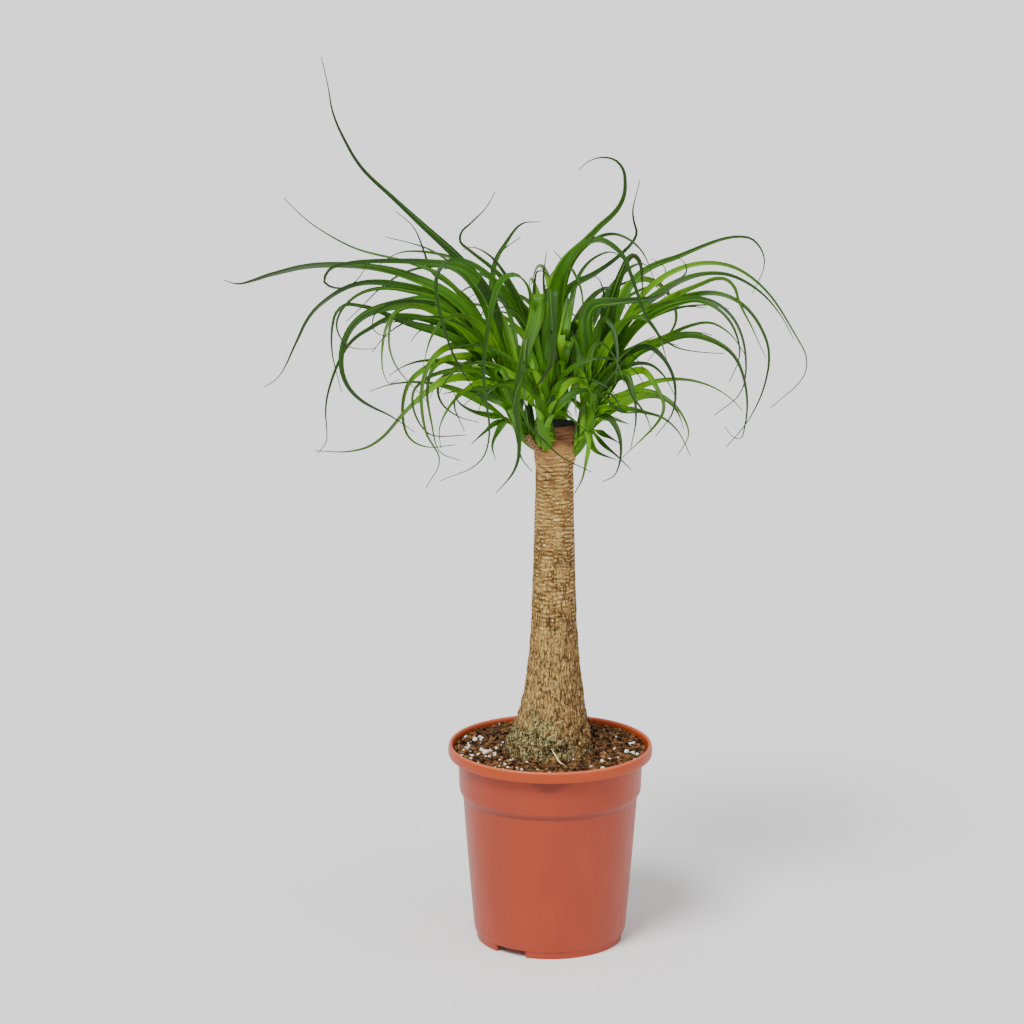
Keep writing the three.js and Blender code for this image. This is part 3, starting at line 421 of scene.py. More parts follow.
def spaced(knots: np.ndarray, count: int, fine: int = 200) -> np.ndarray:
    """Points at even steps along a smooth curve through knots.

    Args:
        knots: The knots, one a row.
        count: The number of steps.
        fine: The number of steps that the curve itself is worked out in.

    Returns:
        count + 1 points, the first and last knot at the ends.
    """
    padded = np.vstack((2 * knots[0] - knots[1], knots, 2 * knots[-1] - knots[-2]))
    gaps = np.maximum(np.linalg.norm(np.diff(padded, axis=0), axis=1) ** 0.5, 1e-3)
    t = np.linspace(0, 1, max(fine // (len(knots) - 1), 8), endpoint=False)[:, None]
    parts = []
    for i in range(len(knots) - 1):
        a, b, c, d = padded[i:i + 4]
        ab, bc, cd = gaps[i:i + 3]
        start = ((b - a) / ab - (c - a) / (ab + bc) + (c - b) / bc) * bc
        end = ((c - b) / bc - (d - b) / (bc + cd) + (d - c) / cd) * bc
        cubic = (2 * t ** 3 - 3 * t ** 2 + 1) * b + (t ** 3 - 2 * t ** 2 + t) * start
        parts.append(cubic + (3 * t ** 2 - 2 * t ** 3) * c + (t ** 3 - t ** 2) * end)
    line = np.vstack(parts + [knots[-1:]])
    run = run_along(line)
    even = np.linspace(0, run[-1], count + 1)
    return np.column_stack([np.interp(even, run, axis) for axis in line.T])


class Draws:
    """The same draws each time, from 0 to 1."""

    def __init__(self, seed: int) -> None:
        """Starts from a seed."""
        self.state = seed

    def next(self) -> float:
        """The next draw."""
        self.state = (self.state * 16807) % 2147483647
        return self.state / 2147483647

    def between(self, low: float, high: float) -> float:
        """A draw between two values."""
        return low + (high - low) * self.next()


class Surface:
    """Points, faces and point values of a mesh that is still being put together."""

    def __init__(self) -> None:
        """Starts empty."""
        self.points: list[np.ndarray] = []
        self.faces: Faces = []
        self.values: dict[str, list[np.ndarray]] = {}
        self.count = 0

    def add(self, points: np.ndarray, faces: Faces, **values: np.ndarray | float) -> None:
        """Adds a closed skin.

        Args:
            points: Its points, one a row, in millimetres.
            faces: Its faces, as row numbers.
            **values: Values for its points, by name, each an array or one number for all.
        """
        self.faces += [tuple(i + self.count for i in face) for face in faces]
        self.points.append(points)
        for name, value in values.items():
            full = np.broadcast_to(np.asarray(value, float), (len(points),))
            self.values.setdefault(name, []).append(full)
        self.count += len(points)

    def piece(self, name: str, material: bpy.types.Material, slot: Slot) -> bpy.types.Object:
        """Makes the object and lets it ride on the root body.

        Args:
            name: The piece's name.
            material: Its material.
            slot: The record's slot for its finish; it is not used.

        Returns:
            The object.
        """
        mesh = bpy.data.meshes.new(name)
        mesh.from_pydata((np.concatenate(self.points) * MM).tolist(), [], self.faces)
        for key, parts in self.values.items():
            attribute = mesh.attributes.new(key, "FLOAT", "POINT")
            attribute.data.foreach_set("value", np.concatenate(parts).astype(np.float32))
        mesh.materials.append(material)
        mesh.shade_smooth()
        made = bpy.data.objects.new(name, mesh)
        bpy.context.scene.collection.objects.link(made)
        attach(made, "root")
        LOG.info("%s: %d faces", name, len(self.faces))
        return made


class Finish:
    """A material's node tree, put together a node at a time."""

    def __init__(self, name: str, roughness: float, specular: float) -> None:
        """Starts a material.

        Args:
            name: Its name.
            roughness: How rough it is all over.
            specular: How strongly it reflects.
        """
        self.material = bpy.data.materials.new(name)
        self.material.use_nodes = True
        self.tree = self.material.node_tree
        self.shader = self.tree.nodes["Principled BSDF"]
        self.feed(self.shader, {"Roughness": roughness, "Specular IOR Level": specular})

    def feed(self, node: bpy.types.Node, inputs: dict[str | int, object]) -> None:
        """Links sockets to a node's inputs, and sets constants on them directly."""
        for key, source in inputs.items():
            if isinstance(source, Socket):
                self.tree.links.new(source, node.inputs[key])
            else:
                node.inputs[key].default_value = source

    def node(
        self, kind: str, output: str | int, inputs: dict[str | int, object], **settings: object,
    ) -> Socket:
        """Adds a node.

        Args:
            kind: Its type.
            output: The output that is wanted.
            inputs: The socket or the constant for each input.
            **settings: Its settings.

        Returns:
            The output's socket.
        """
        made = self.tree.nodes.new(kind)
        for name, value in settings.items():
            setattr(made, name, value)
        self.feed(made, inputs)
        return made.outputs[output]

    def value(self, name: str) -> Socket:
        """A point value of the mesh, by name."""
        return self.node("ShaderNodeAttribute", "Fac", {}, attribute_name=name)

    def sums(self, kind: str, first: Socket | float, second: Socket | float = 0.0) -> Socket:
        """Works out one number from two, by the name of a sum such as ADD."""
        return self.node("ShaderNodeMath", 0, {0: first, 1: second}, operation=kind)

    def times(self, first: Socket, *others: Socket | float) -> Socket:
        """The product of numbers."""
        for other in others:
            first = self.sums("MULTIPLY", first, other)
        return first

    def placed(self, stretch: tuple[float, float, float], place: Socket | None = None) -> Socket:
        """A place, or the object's own where there is none, scaled along each axis."""
        if place is None:
            place = self.node("ShaderNodeTexCoord", "Object", {})
        return self.node("ShaderNodeMapping", "Vector", {"Scale": stretch, "Vector": place})

    def speckle(
        self, size: float, detail: float, stretch: tuple[float, float, float] = (1, 1, 1),
        place: Socket | None = None,
    ) -> Socket:
        """Noise on the surface.

        Args:
            size: The size of a lump, in millimetres.
            detail: How much finer detail it has.
            stretch: How the place is scaled along each axis first.
            place: The place, or none for the object's own place.

        Returns:
            The noise's socket, 0 to 1.
        """
        inputs = {"Vector": self.placed(stretch, place), "Scale": 1 / (size * MM), "Detail": detail}
        return self.node("ShaderNodeTexNoise", "Fac", inputs)

    def ramp(self, source: Socket, stops: list[tuple[float, Colour]]) -> Socket:
        """Turns a number into a colour, by stops of a number and a linear colour each."""
        made = self.node("ShaderNodeValToRGB", "Color", {"Fac": source})
        elements = made.node.color_ramp.elements
        while len(elements) < len(stops):
            elements.new(0.5)
        for element, (place, colour) in zip(elements, stops):
            element.position = place
            element.color = colour
        return made

    def mask(self, source: Socket, low: float, high: float) -> Socket:
        """Rises from 0 at low to 1 at high, or falls where low is the larger."""
        inputs = {
            "Value": source, "From Min": min(low, high), "From Max": max(low, high),
            "To Min": float(low > high), "To Max": float(low < high)}
        return self.node("ShaderNodeMapRange", "Result", inputs, interpolation_type="SMOOTHSTEP")

    def mix(
        self, factor: Socket | float, first: Socket | Colour, second: Socket | Colour, kind: str = "MIX",
    ) -> Socket:
        """Mixes two colours.

        Args:
            factor: How far to the second colour, 0 to 1.
            first: The colour at 0, a socket or a linear colour.
            second: The colour at 1, a socket or a linear colour.
            kind: The blend, such as MULTIPLY.

        Returns:
            The colour's socket.
        """
        inputs = {0: factor, 6: first, 7: second}
        return self.node("ShaderNodeMix", 2, inputs, data_type="RGBA", blend_type=kind)

    def tint(self, colour: Socket | Colour, other: Socket | Colour, *masks: Socket | float) -> Socket:
        """Takes a colour towards another, as far as the product of masks and amounts."""
        return self.mix(self.times(*masks), colour, other)

    def colour(self, source: Socket) -> None:
        """Sets the surface's colour."""
        self.feed(self.shader, {"Base Color": source})

    def roughness(self, source: Socket, low: float, high: float) -> None:
        """Lets the roughness follow a number between low and high."""
        inputs = {"Value": source, "To Min": low, "To Max": high}
        self.feed(self.shader, {"Roughness": self.node("ShaderNodeMapRange", "Result", inputs)})

    def bump(self, source: Socket, height: float, strength: float) -> None:
        """Raises the surface by a number, height millimetres at most."""
        inputs = {"Height": source, "Distance": height * MM, "Strength": strength}
        self.feed(self.shader, {"Normal": self.node("ShaderNodeBump", "Normal", inputs)})


@dataclass(frozen=True)
class PlasticFinish:
    """The pot's moulded plastic: terracotta, satin, with faint flow marks and scuffs."""

    body: Colour = srgb(157, 58, 31)
    rim: Colour = srgb(166, 62, 18)
    dull: Colour = srgb(140, 50, 29)
    dust: Colour = srgb(150, 92, 70)
    # Painted shade: for the corner under the step and the shadow under the rim's front
    shade: Colour = srgb(92, 30, 18)
    # A painted highlight along the rim's top edge
    painted_highlight: Colour = srgb(214, 112, 78)

    def material(self) -> bpy.types.Material:
        """The material."""
        finish = Finish("pot_plastic", 0.38, 0.35)
        clouds, streaks = finish.speckle(38, 3, (1, 1, 0.5)), finish.speckle(9, 2, (1, 1, 0.05))
        scuffs = finish.mask(finish.speckle(5, 5, (1, 1, 0.25)), 0.66, 0.78)
        colour = finish.tint(self.body, self.dull, finish.mask(clouds, 0.3, 0.75), 0.5)
        # The rim band's own colour, then painted shade, then the painted highlight on the rim's top edge
        for value, other in (("rim", self.rim), ("painted_shade", self.shade), ("edge", self.painted_highlight)):
            colour = finish.tint(colour, other, finish.value(value))
        finish.colour(finish.tint(colour, self.dust, scuffs, 0.22))
        finish.roughness(finish.sums("ADD", finish.times(streaks, 0.6), scuffs), 0.3, 0.62)
        finish.bump(finish.speckle(1.4, 2), 0.05, 0.35)
        return finish.material


@dataclass(frozen=True)
class SoilFinish:
    """Damp potting mix: near-black peat with reddish fibre."""

    dark: Colour = srgb(22, 12, 5)
    middle: Colour = srgb(62, 40, 20)
    light: Colour = srgb(150, 108, 68)

    def material(self, name: str) -> bpy.types.Material:
        """The material, under a name."""
        finish = Finish(name, 0.9, 0.12)
        coarse, fine = finish.speckle(7, 6), finish.speckle(1.6, 4)
        both = finish.sums("ADD", finish.times(coarse, 0.55), finish.times(fine, 0.45))
        colour = finish.ramp(both, [(0.43, self.dark), (0.51, self.middle), (0.62, self.light)])
        finish.colour(finish.tint(colour, self.light, finish.value("tone")))
        finish.bump(fine, 1.0, 0.8)
        return finish.material


@dataclass(frozen=True)
class PlainFinish:
    """A small dry thing of one colour that varies a little, such as a perlite grain."""

    name: str
    light: Colour
    dark: Colour
    size: float
    rough: float = 0.85

    def material(self) -> bpy.types.Material:
        """The material."""
        finish = Finish(self.name, self.rough, 0.3)
        spots = finish.speckle(self.size, 4)
        finish.colour(finish.tint(self.light, self.dark, finish.mask(spots, 0.35, 0.68)))
        finish.bump(spots, 0.3, 0.6)
        return finish.material


@dataclass(frozen=True)
class BarkFinish:
    """The trunk's bark: tan rings above, grey-brown cork below, moss round the foot."""

    tan: Colour = srgb(176, 135, 76)
    # Pale: a painted highlight on the ring ridges, the light flecks and the cork's fibres
    pale: Colour = srgb(255, 226, 148)
    brown: Colour = srgb(124, 86, 42)
    # Groove: the dark of the ring lines and cork cracks, partly the bark's own and partly painted shade, and
    # painted shade deep in grooves
    groove: Colour = srgb(58, 36, 14)
    cork: Colour = srgb(178, 142, 86)
    moss: Colour = srgb(26, 38, 16)
    grey_moss: Colour = srgb(164, 160, 112)
    orange: Colour = srgb(206, 152, 96)
    old: Colour = srgb(82, 54, 32)
    rust: Colour = srgb(128, 88, 56)
    cut_top_dark: Colour = srgb(30, 32, 30)
    plate: float = 3.8
    plate_stretch: tuple = (1, 1, 0.2)
    crack: float = 0.14
    crack_sway: tuple = (0.004, 0.004, 0.006)
    cracked_below: tuple = (462, 385)
    upright_below: tuple = (385, 300)
    cork_below: tuple = (370, 265)
    moss_below: tuple = (282, 254)
    warm_above: tuple = (494, 508)
    plain_above: tuple = (522, 506)
    old_above: tuple = (528, 536)

    def valley(self, finish: Finish) -> Socket:
        """How far a place lies from the middle of its ring, 0 on the ridge and 1 in the groove."""
        wave = finish.sums("ADD", finish.value("phase"), finish.times(finish.speckle(5.5, 3), 0.3))
        off = finish.sums("SUBTRACT", finish.sums("FRACT", wave), 0.5)
        return finish.times(finish.sums("ABSOLUTE", off), 2.0)

    def cracks(self, finish: Finish) -> Socket:
        """How deep in a crack between two cork plates a place lies, 0 to 1."""
        inputs = {
            0: finish.speckle(7, 3).node.outputs["Color"], 1: self.crack_sway,
            2: finish.node("ShaderNodeTexCoord", "Object", {})}
        swayed = finish.node("ShaderNodeVectorMath", 0, inputs, operation="MULTIPLY_ADD")
        inputs = {"Vector": finish.placed(self.plate_stretch, swayed), "Scale": 1 / (self.plate * MM)}
        cells = finish.node("ShaderNodeTexVoronoi", "Distance", inputs, feature="DISTANCE_TO_EDGE")
        patchy = finish.mask(finish.speckle(6, 4), 0.36, 0.56)
        lower = finish.mask(finish.value("height"), *self.cracked_below)
        return finish.times(finish.mask(cells, self.crack, 0.0), patchy, lower)

    def flecks(self, finish: Finish) -> tuple[Socket, Socket]:
        """Fine light and dark flecks, upright on the cork and level on the rings."""
        upright, flat = finish.speckle(1.3, 3, (1, 1, 0.13)), finish.speckle(1.8, 3, (0.22, 0.22, 1.3))
        both = finish.mix(finish.mask(finish.value("height"), *self.upright_below), flat, upright)
        return finish.mask(both, 0.56, 0.66), finish.mask(both, 0.46, 0.35)

    def ground(self, finish: Finish, grain: Socket) -> Socket:
        """The colour of the bark between its lines.

        Args:
            finish: The material that it is part of.
            grain: Fine noise.

        Returns:
            The colour's socket.
        """
        height = finish.value("height")
        blotch, fibre = finish.speckle(16, 4, (1, 1, 0.6)), finish.speckle(1.3, 3, (1, 1, 0.2))
        colour = finish.tint(self.tan, self.brown, finish.mask(blotch, 0.38, 0.68))
        cork = finish.tint(self.cork, self.brown, finish.mask(grain, 0.42, 0.7), 0.6)
        # A painted highlight along the cork's fibres
        cork = finish.tint(cork, self.pale, finish.mask(fibre, 0.5, 0.66), 0.4)
        colour = finish.tint(colour, cork, finish.mask(height, *self.cork_below), 0.85)
        ruddy = finish.sums("ADD", finish.speckle(24, 3), finish.value("right"))
        colour = finish.tint(colour, self.rust, finish.mask(ruddy, 0.62, 1.3), 0.5)
        upper = finish.mask(height, *self.warm_above)
        colour = finish.tint(colour, self.orange, upper, finish.mask(blotch, 0.2, 0.6), 0.45)
        streaks = finish.mask(finish.speckle(3.2, 3, (0.2, 0.2, 1.1)), 0.42, 0.6)
        old = finish.tint(self.rust, self.old, streaks)
        ragged = finish.sums("ADD", height, finish.times(blotch, 26))
        return finish.tint(colour, old, finish.mask(ragged, *self.old_above))

    def material(self) -> bpy.types.Material:
        """The material."""
        finish = Finish("bark", 0.85, 0.2)
        height, ringed, right = (finish.value(name) for name in ("height", "ringed", "right"))
        grain, valley = finish.speckle(2.2, 5, (1, 1, 0.6)), self.valley(finish)
        below = finish.mask(height, *self.plain_above)
        # A painted highlight along the ring ridges
        ridge = finish.times(finish.mask(valley, 0.6, 0.15), finish.mask(grain, 0.42, 0.6), ringed, below)
        colour = finish.tint(self.ground(finish, grain), self.pale, ridge, 0.74)
        ringed = finish.times(ringed, finish.mask(finish.speckle(9, 3, (1, 1, 1.6)), 0.34, 0.6), below)
        # The ring lines and cork cracks darkened: the bark's own dark lines, deepened by painted shade
        rings = finish.times(finish.mask(valley, 0.7, 1.0), ringed, 0.46)
        lines = finish.sums("MAXIMUM", rings, finish.times(self.cracks(finish), 0.82))
        colour = finish.tint(colour, self.groove, lines)
        moss = finish.tint(self.moss, self.grey_moss, finish.mask(finish.speckle(2.8, 4), 0.42, 0.58))
        damp = finish.sums("ADD", height, finish.times(finish.speckle(20, 3), 62))
        damp = finish.mask(finish.sums("ADD", damp, finish.times(right, 34)), *self.moss_below)
        colour = finish.tint(colour, moss, damp, finish.mask(finish.speckle(5, 4), 0.34, 0.48), 0.85)
        # A painted highlight on the light flecks; the dark flecks take the groove colour
        light, dark = self.flecks(finish)
        colour = finish.tint(colour, self.pale, light, below, 0.56)
        colour = finish.tint(colour, self.groove, dark, below, 0.5)
        # Painted shade that deepens with a groove's depth, in splits, cracks, knob hollows and flakes
        colour = finish.tint(colour, self.groove, finish.mask(finish.value("groove"), 0.2, 1.0))
        # The cut top is coloured near-black
        finish.colour(finish.tint(colour, self.cut_top_dark, finish.value("cut")))
        rough = finish.sums("ADD", finish.times(grain, 0.7), finish.speckle(0.9, 3))
        finish.bump(finish.sums("SUBTRACT", rough, finish.times(lines, 1.8)), 1.5, 1.0)
        return finish.material


@dataclass(frozen=True)
class LeafFinish:
    """Leaf blades: satin green with fine lengthwise veins, lime at the base and dry at some tips."""

    deep: Colour = srgb(22, 50, 4)
    green: Colour = srgb(62, 112, 5)
    bright: Colour = srgb(118, 176, 16)
    lime: Colour = srgb(104, 166, 8)
    # Grey: glaucous grey-green, partly the blade's own bloom and partly painted sheen
    grey: Colour = srgb(62, 98, 40)
    dry: Colour = srgb(34, 42, 12)
    vein_dark: Colour = (0.62, 0.62, 0.62, 1)
    vein_light: Colour = (1.34, 1.34, 1.34, 1)
    young: tuple = (0.26, 0.02)
    deep_from: tuple = (0.28, 0.66)
    grey_from: tuple = (0.3, 0.6)
    dry_from: tuple = (0.66, 0.94)

    def material(self) -> bpy.types.Material:
        """The material."""
        finish = Finish("leaf", 0.36, 0.22)
        along, across, tone = (finish.value(name) for name in ("along", "across", "tone"))
        inputs = {0: finish.times(across, 0.009), 1: finish.times(along, 0.012), 2: tone}
        blade = finish.node("ShaderNodeCombineXYZ", 0, inputs)
        veins, broad = finish.speckle(1.1, 2, place=blade), finish.speckle(3.4, 2, (1, 0.3, 1), blade)
        stops = [(0.0, self.deep), (0.26, self.green), (0.55, self.green), (0.85, self.bright)]
        # Grey-green on the hanging outer part: partly the blade's own glaucous bloom, partly painted sheen
        hanging = finish.times(finish.mask(along, *self.grey_from), finish.mask(tone, 0.75, 0.25))
        colour = finish.tint(finish.ramp(tone, stops), self.grey, hanging, 0.2)
        colour = finish.tint(colour, self.deep, finish.mask(along, *self.deep_from), 0.84)
        shade = finish.ramp(veins, [(0.3, self.vein_dark), (0.7, self.vein_light)])
        colour = finish.mix(0.9, colour, shade, "MULTIPLY")
        colour = finish.tint(colour, self.bright, finish.mask(broad, 0.55, 0.68), 0.4)
        colour = finish.tint(colour, self.deep, finish.mask(broad, 0.45, 0.32), 0.45)
        colour = finish.tint(colour, self.lime, finish.mask(along, *self.young), finish.value("fresh"))
        withered = finish.times(finish.mask(along, *self.dry_from), 0.85, finish.mask(tone, 0.8, 0.3))
        finish.colour(finish.tint(colour, self.dry, withered))
        finish.roughness(veins, 0.36, 0.54)
        finish.bump(veins, 0.12, 0.5)
        finish.feed(finish.shader, {
            "Subsurface Weight": 0.12, "Subsurface Radius": (0.6, 1.0, 0.2), "Subsurface Scale": 0.002})
        return finish.material


@dataclass
class Pot:
    """The nursery pot: a thin turned shell with a rim band, a step, an inset foot and drain holes."""

    height: float = 207.3
    rim_radius: float = 104.8
    rim_band: float = 11.5
    rim_inner: float = 99.9
    shoulder: float = 94.6
    step_top: float = 159.6
    step_bottom: float = 152.1
    body_top: float = 89.7
    body_middle: tuple = (84.45, 80)
    body_bottom: float = 78.6
    bend: float = 12.5
    foot: float = 75.9
    foot_height: float = 7.5
    foot_width: float = 2.5
    centre_foot: float = 12.0
    wall: float = 1.8
    sides: int = 180
    longest: float = 5.0
    notches: int = 3
    notch_first: float = 237.2
    notch_sweep: float = 26.5
    notch_edge: float = 0.12
    notch_from: float = 60.0
    drains: int = 6
    drain_ring: float = 56.0
    drain_radius: float = 4.5
    drain_sides: int = 32
    drain_cut: tuple = (3.0, 14.0)
    # The painted shadow under the rim's front: its middle across, its drop below the rim band and its slope
    rim_shadow_middle: float = -2.0
    rim_shadow_drop: float = 15.0
    rim_shadow_slope: float = 0.42

    def profile(self) -> np.ndarray:
        """The turned outline, from the middle of the underside out, up and down inside to the floor."""
        band, floor = self.height - self.rim_band, self.foot_height + self.wall
        inner = self.foot - self.foot_width
        line = rounded([
            (0, 0, 0), (self.centre_foot, 0, 0.6), (self.centre_foot + 0.6, self.foot_height, 1.2),
            (inner - 0.4, self.foot_height, 0.8), (inner, 0, 0.5), (self.foot, 0, 0.5),
            (self.foot + 0.5, self.foot_height - 0.3, 0.4),
            (self.body_bottom - 1.1, self.foot_height + 0.4, 1.6),
            (self.body_bottom, self.bend, 4), (*self.body_middle, 30),
            (self.body_top, self.step_bottom, 0.7), (self.shoulder - 1.5, self.step_top - 1.2, 0.9),
            (self.shoulder - 1.0, self.step_top + 3, 2), (self.shoulder, band - 0.4, 0.9),
            (self.rim_radius - 0.6, band, 0.7), (self.rim_radius, band + 2, 1.2),
            (self.rim_radius, self.height - 3.4, 2.4), (self.rim_radius - 1.4, self.height - 0.1, 1.4),
            (self.rim_inner + 1.4, self.height - 0.2, 1.4), (self.rim_inner, self.height - 3, 2),
            (self.rim_inner - 0.4, self.height - 9, 2), (self.shoulder - 1.2, self.height - 12.6, 2),
            (self.shoulder - self.wall, self.height - 16, 2),
            (self.shoulder - 1.1 - self.wall, self.step_top, 1.5),
            (self.body_top - self.wall, self.step_bottom, 2),
            (self.body_bottom - self.wall, self.bend + 1, 3),
            (self.body_bottom - self.wall - 2.4, floor, 2), (0, floor, 0),
        ])
        rows = [line[:1]]
        for start, end in zip(line, line[1:]):
            steps = max(math.ceil(np.linalg.norm(end - start) / self.longest), 1)
            rows.append(start + (end - start) * np.linspace(0, 1, steps + 1)[1:, None])
        return np.concatenate(rows)

    def angles(self) -> np.ndarray:
        """The directions of the outline's copies, closer together at the notches' edges."""
        turns = set(np.linspace(0, 360, self.sides, endpoint=False).tolist())
        for i in range(self.notches):
            middle = self.notch_first + i * 360 / self.notches
            for edge in (middle - self.notch_sweep / 2, middle + self.notch_sweep / 2):
                turns |= {(edge - self.notch_edge) % 360, (edge + self.notch_edge) % 360}
        return np.radians(sorted(turns))

    def notched(self, angle: float) -> bool:
        """Whether a notch opens the foot ring in a direction, in radians."""
        apart = 360 / self.notches
        off = (math.degrees(angle) - self.notch_first + apart / 2) % apart - apart / 2
        return abs(off) < self.notch_sweep / 2

    def build(self, material: bpy.types.Material) -> bpy.types.Object:
        """Makes the shell with its notches and drain holes.

        Args:
            material: The plastic.

        Returns:
            The pot.
        """
        out, up = self.profile()[1:-1].T
        cut = np.where((out > self.notch_from) & (up < self.foot_height), self.foot_height, up)
        columns = []
        for angle in self.angles():
            height = cut if self.notched(angle) else up
            columns.append(np.column_stack((out * math.cos(angle), out * math.sin(angle), height)))
        turned = np.stack(columns, 1)
        points = np.vstack((turned.reshape(-1, 3), (0, 0, 0), (0, 0, self.foot_height + self.wall)))
        skin = Surface()
        # Point values: the rim band, the painted shade, and where the rim's painted highlight goes
        skin.add(
            points, pointed(*turned.shape[:2]), rim=self.band(points), painted_shade=self.painted_shade(points),
            edge=self.edge(points))
        made = skin.piece("pot_shell", material, Slot.POT)
        self.drill(made)
        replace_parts(made, "pot")
        return made

    def band(self, points: np.ndarray) -> np.ndarray:
        """How far points lie on the rim band, 0 to 1."""
        return smoothstep(points[:, 2], self.height - self.rim_band - 1.5, self.height - self.rim_band)

    def painted_shade(self, points: np.ndarray) -> np.ndarray:
        """How much painted shade points get: in the corner under the step, and as a painted shadow under the
        front of the rim.
        """
        height, out = points[:, 2], np.hypot(points[:, 0], points[:, 1])
        aside = np.abs(points[:, 0] - self.rim_shadow_middle)
        # Painted shade in the corner under the step
        corner = smoothstep(height, self.step_bottom - 0.6, self.step_bottom + 0.4)
        corner = corner * (1 - smoothstep(height, self.step_bottom + 1.6, self.step_top))
        corner = corner * smoothstep(out, self.body_top - 0.6, self.body_top - 0.2)
        # A painted shadow under the rim's front
        low = self.height - self.rim_band - self.rim_shadow_drop + aside * self.rim_shadow_slope
        rim_shadow = smoothstep(height, low - 2, low + 4) * (1 - self.band(points)) * (points[:, 1] < 0)
        rim_shadow = rim_shadow * smoothstep(out, self.shoulder - 1.4, self.shoulder - 1.0) * smoothstep(aside, 38, 12)
        return np.clip(0.5 * corner + 0.58 * rim_shadow, 0, 1)

    def edge(self, points: np.ndarray) -> np.ndarray:
        """How far points lie on the rim's top edge, which takes a painted highlight, 0 to 1."""
        return 0.6 * smoothstep(points[:, 2], self.height - 2.6, self.height - 0.6)

    def drill(self, pot: bpy.types.Object) -> None:
        """Cuts the drain holes through the pot's floor."""
        cutters = Surface()
        turn = circle(self.drain_sides)
        for i in range(self.drains):
            middle = self.drain_ring * level((i + 0.5) * 2 * math.pi / self.drains)[:2]
            ring = middle + self.drain_radius * np.column_stack((np.cos(turn), np.sin(turn)))
            ends = [at_height(ring, height) for height in self.drain_cut]
            cutters.add(np.concatenate(ends), capped(2, self.drain_sides), rim=0, painted_shade=0, edge=0)
        tool = cutters.piece("drain_cutters", pot.data.materials[0], Slot.POT)
        cut = pot.modifiers.new("drains", "BOOLEAN")
        cut.object = tool
        cut.solver = "EXACT"
        bpy.context.view_layer.update()
        whole = pot.evaluated_get(bpy.context.evaluated_depsgraph_get())
        mesh = bpy.data.meshes.new_from_object(whole)
        pot.modifiers.remove(cut)
        pot.data = mesh
        bpy.data.objects.remove(tool)


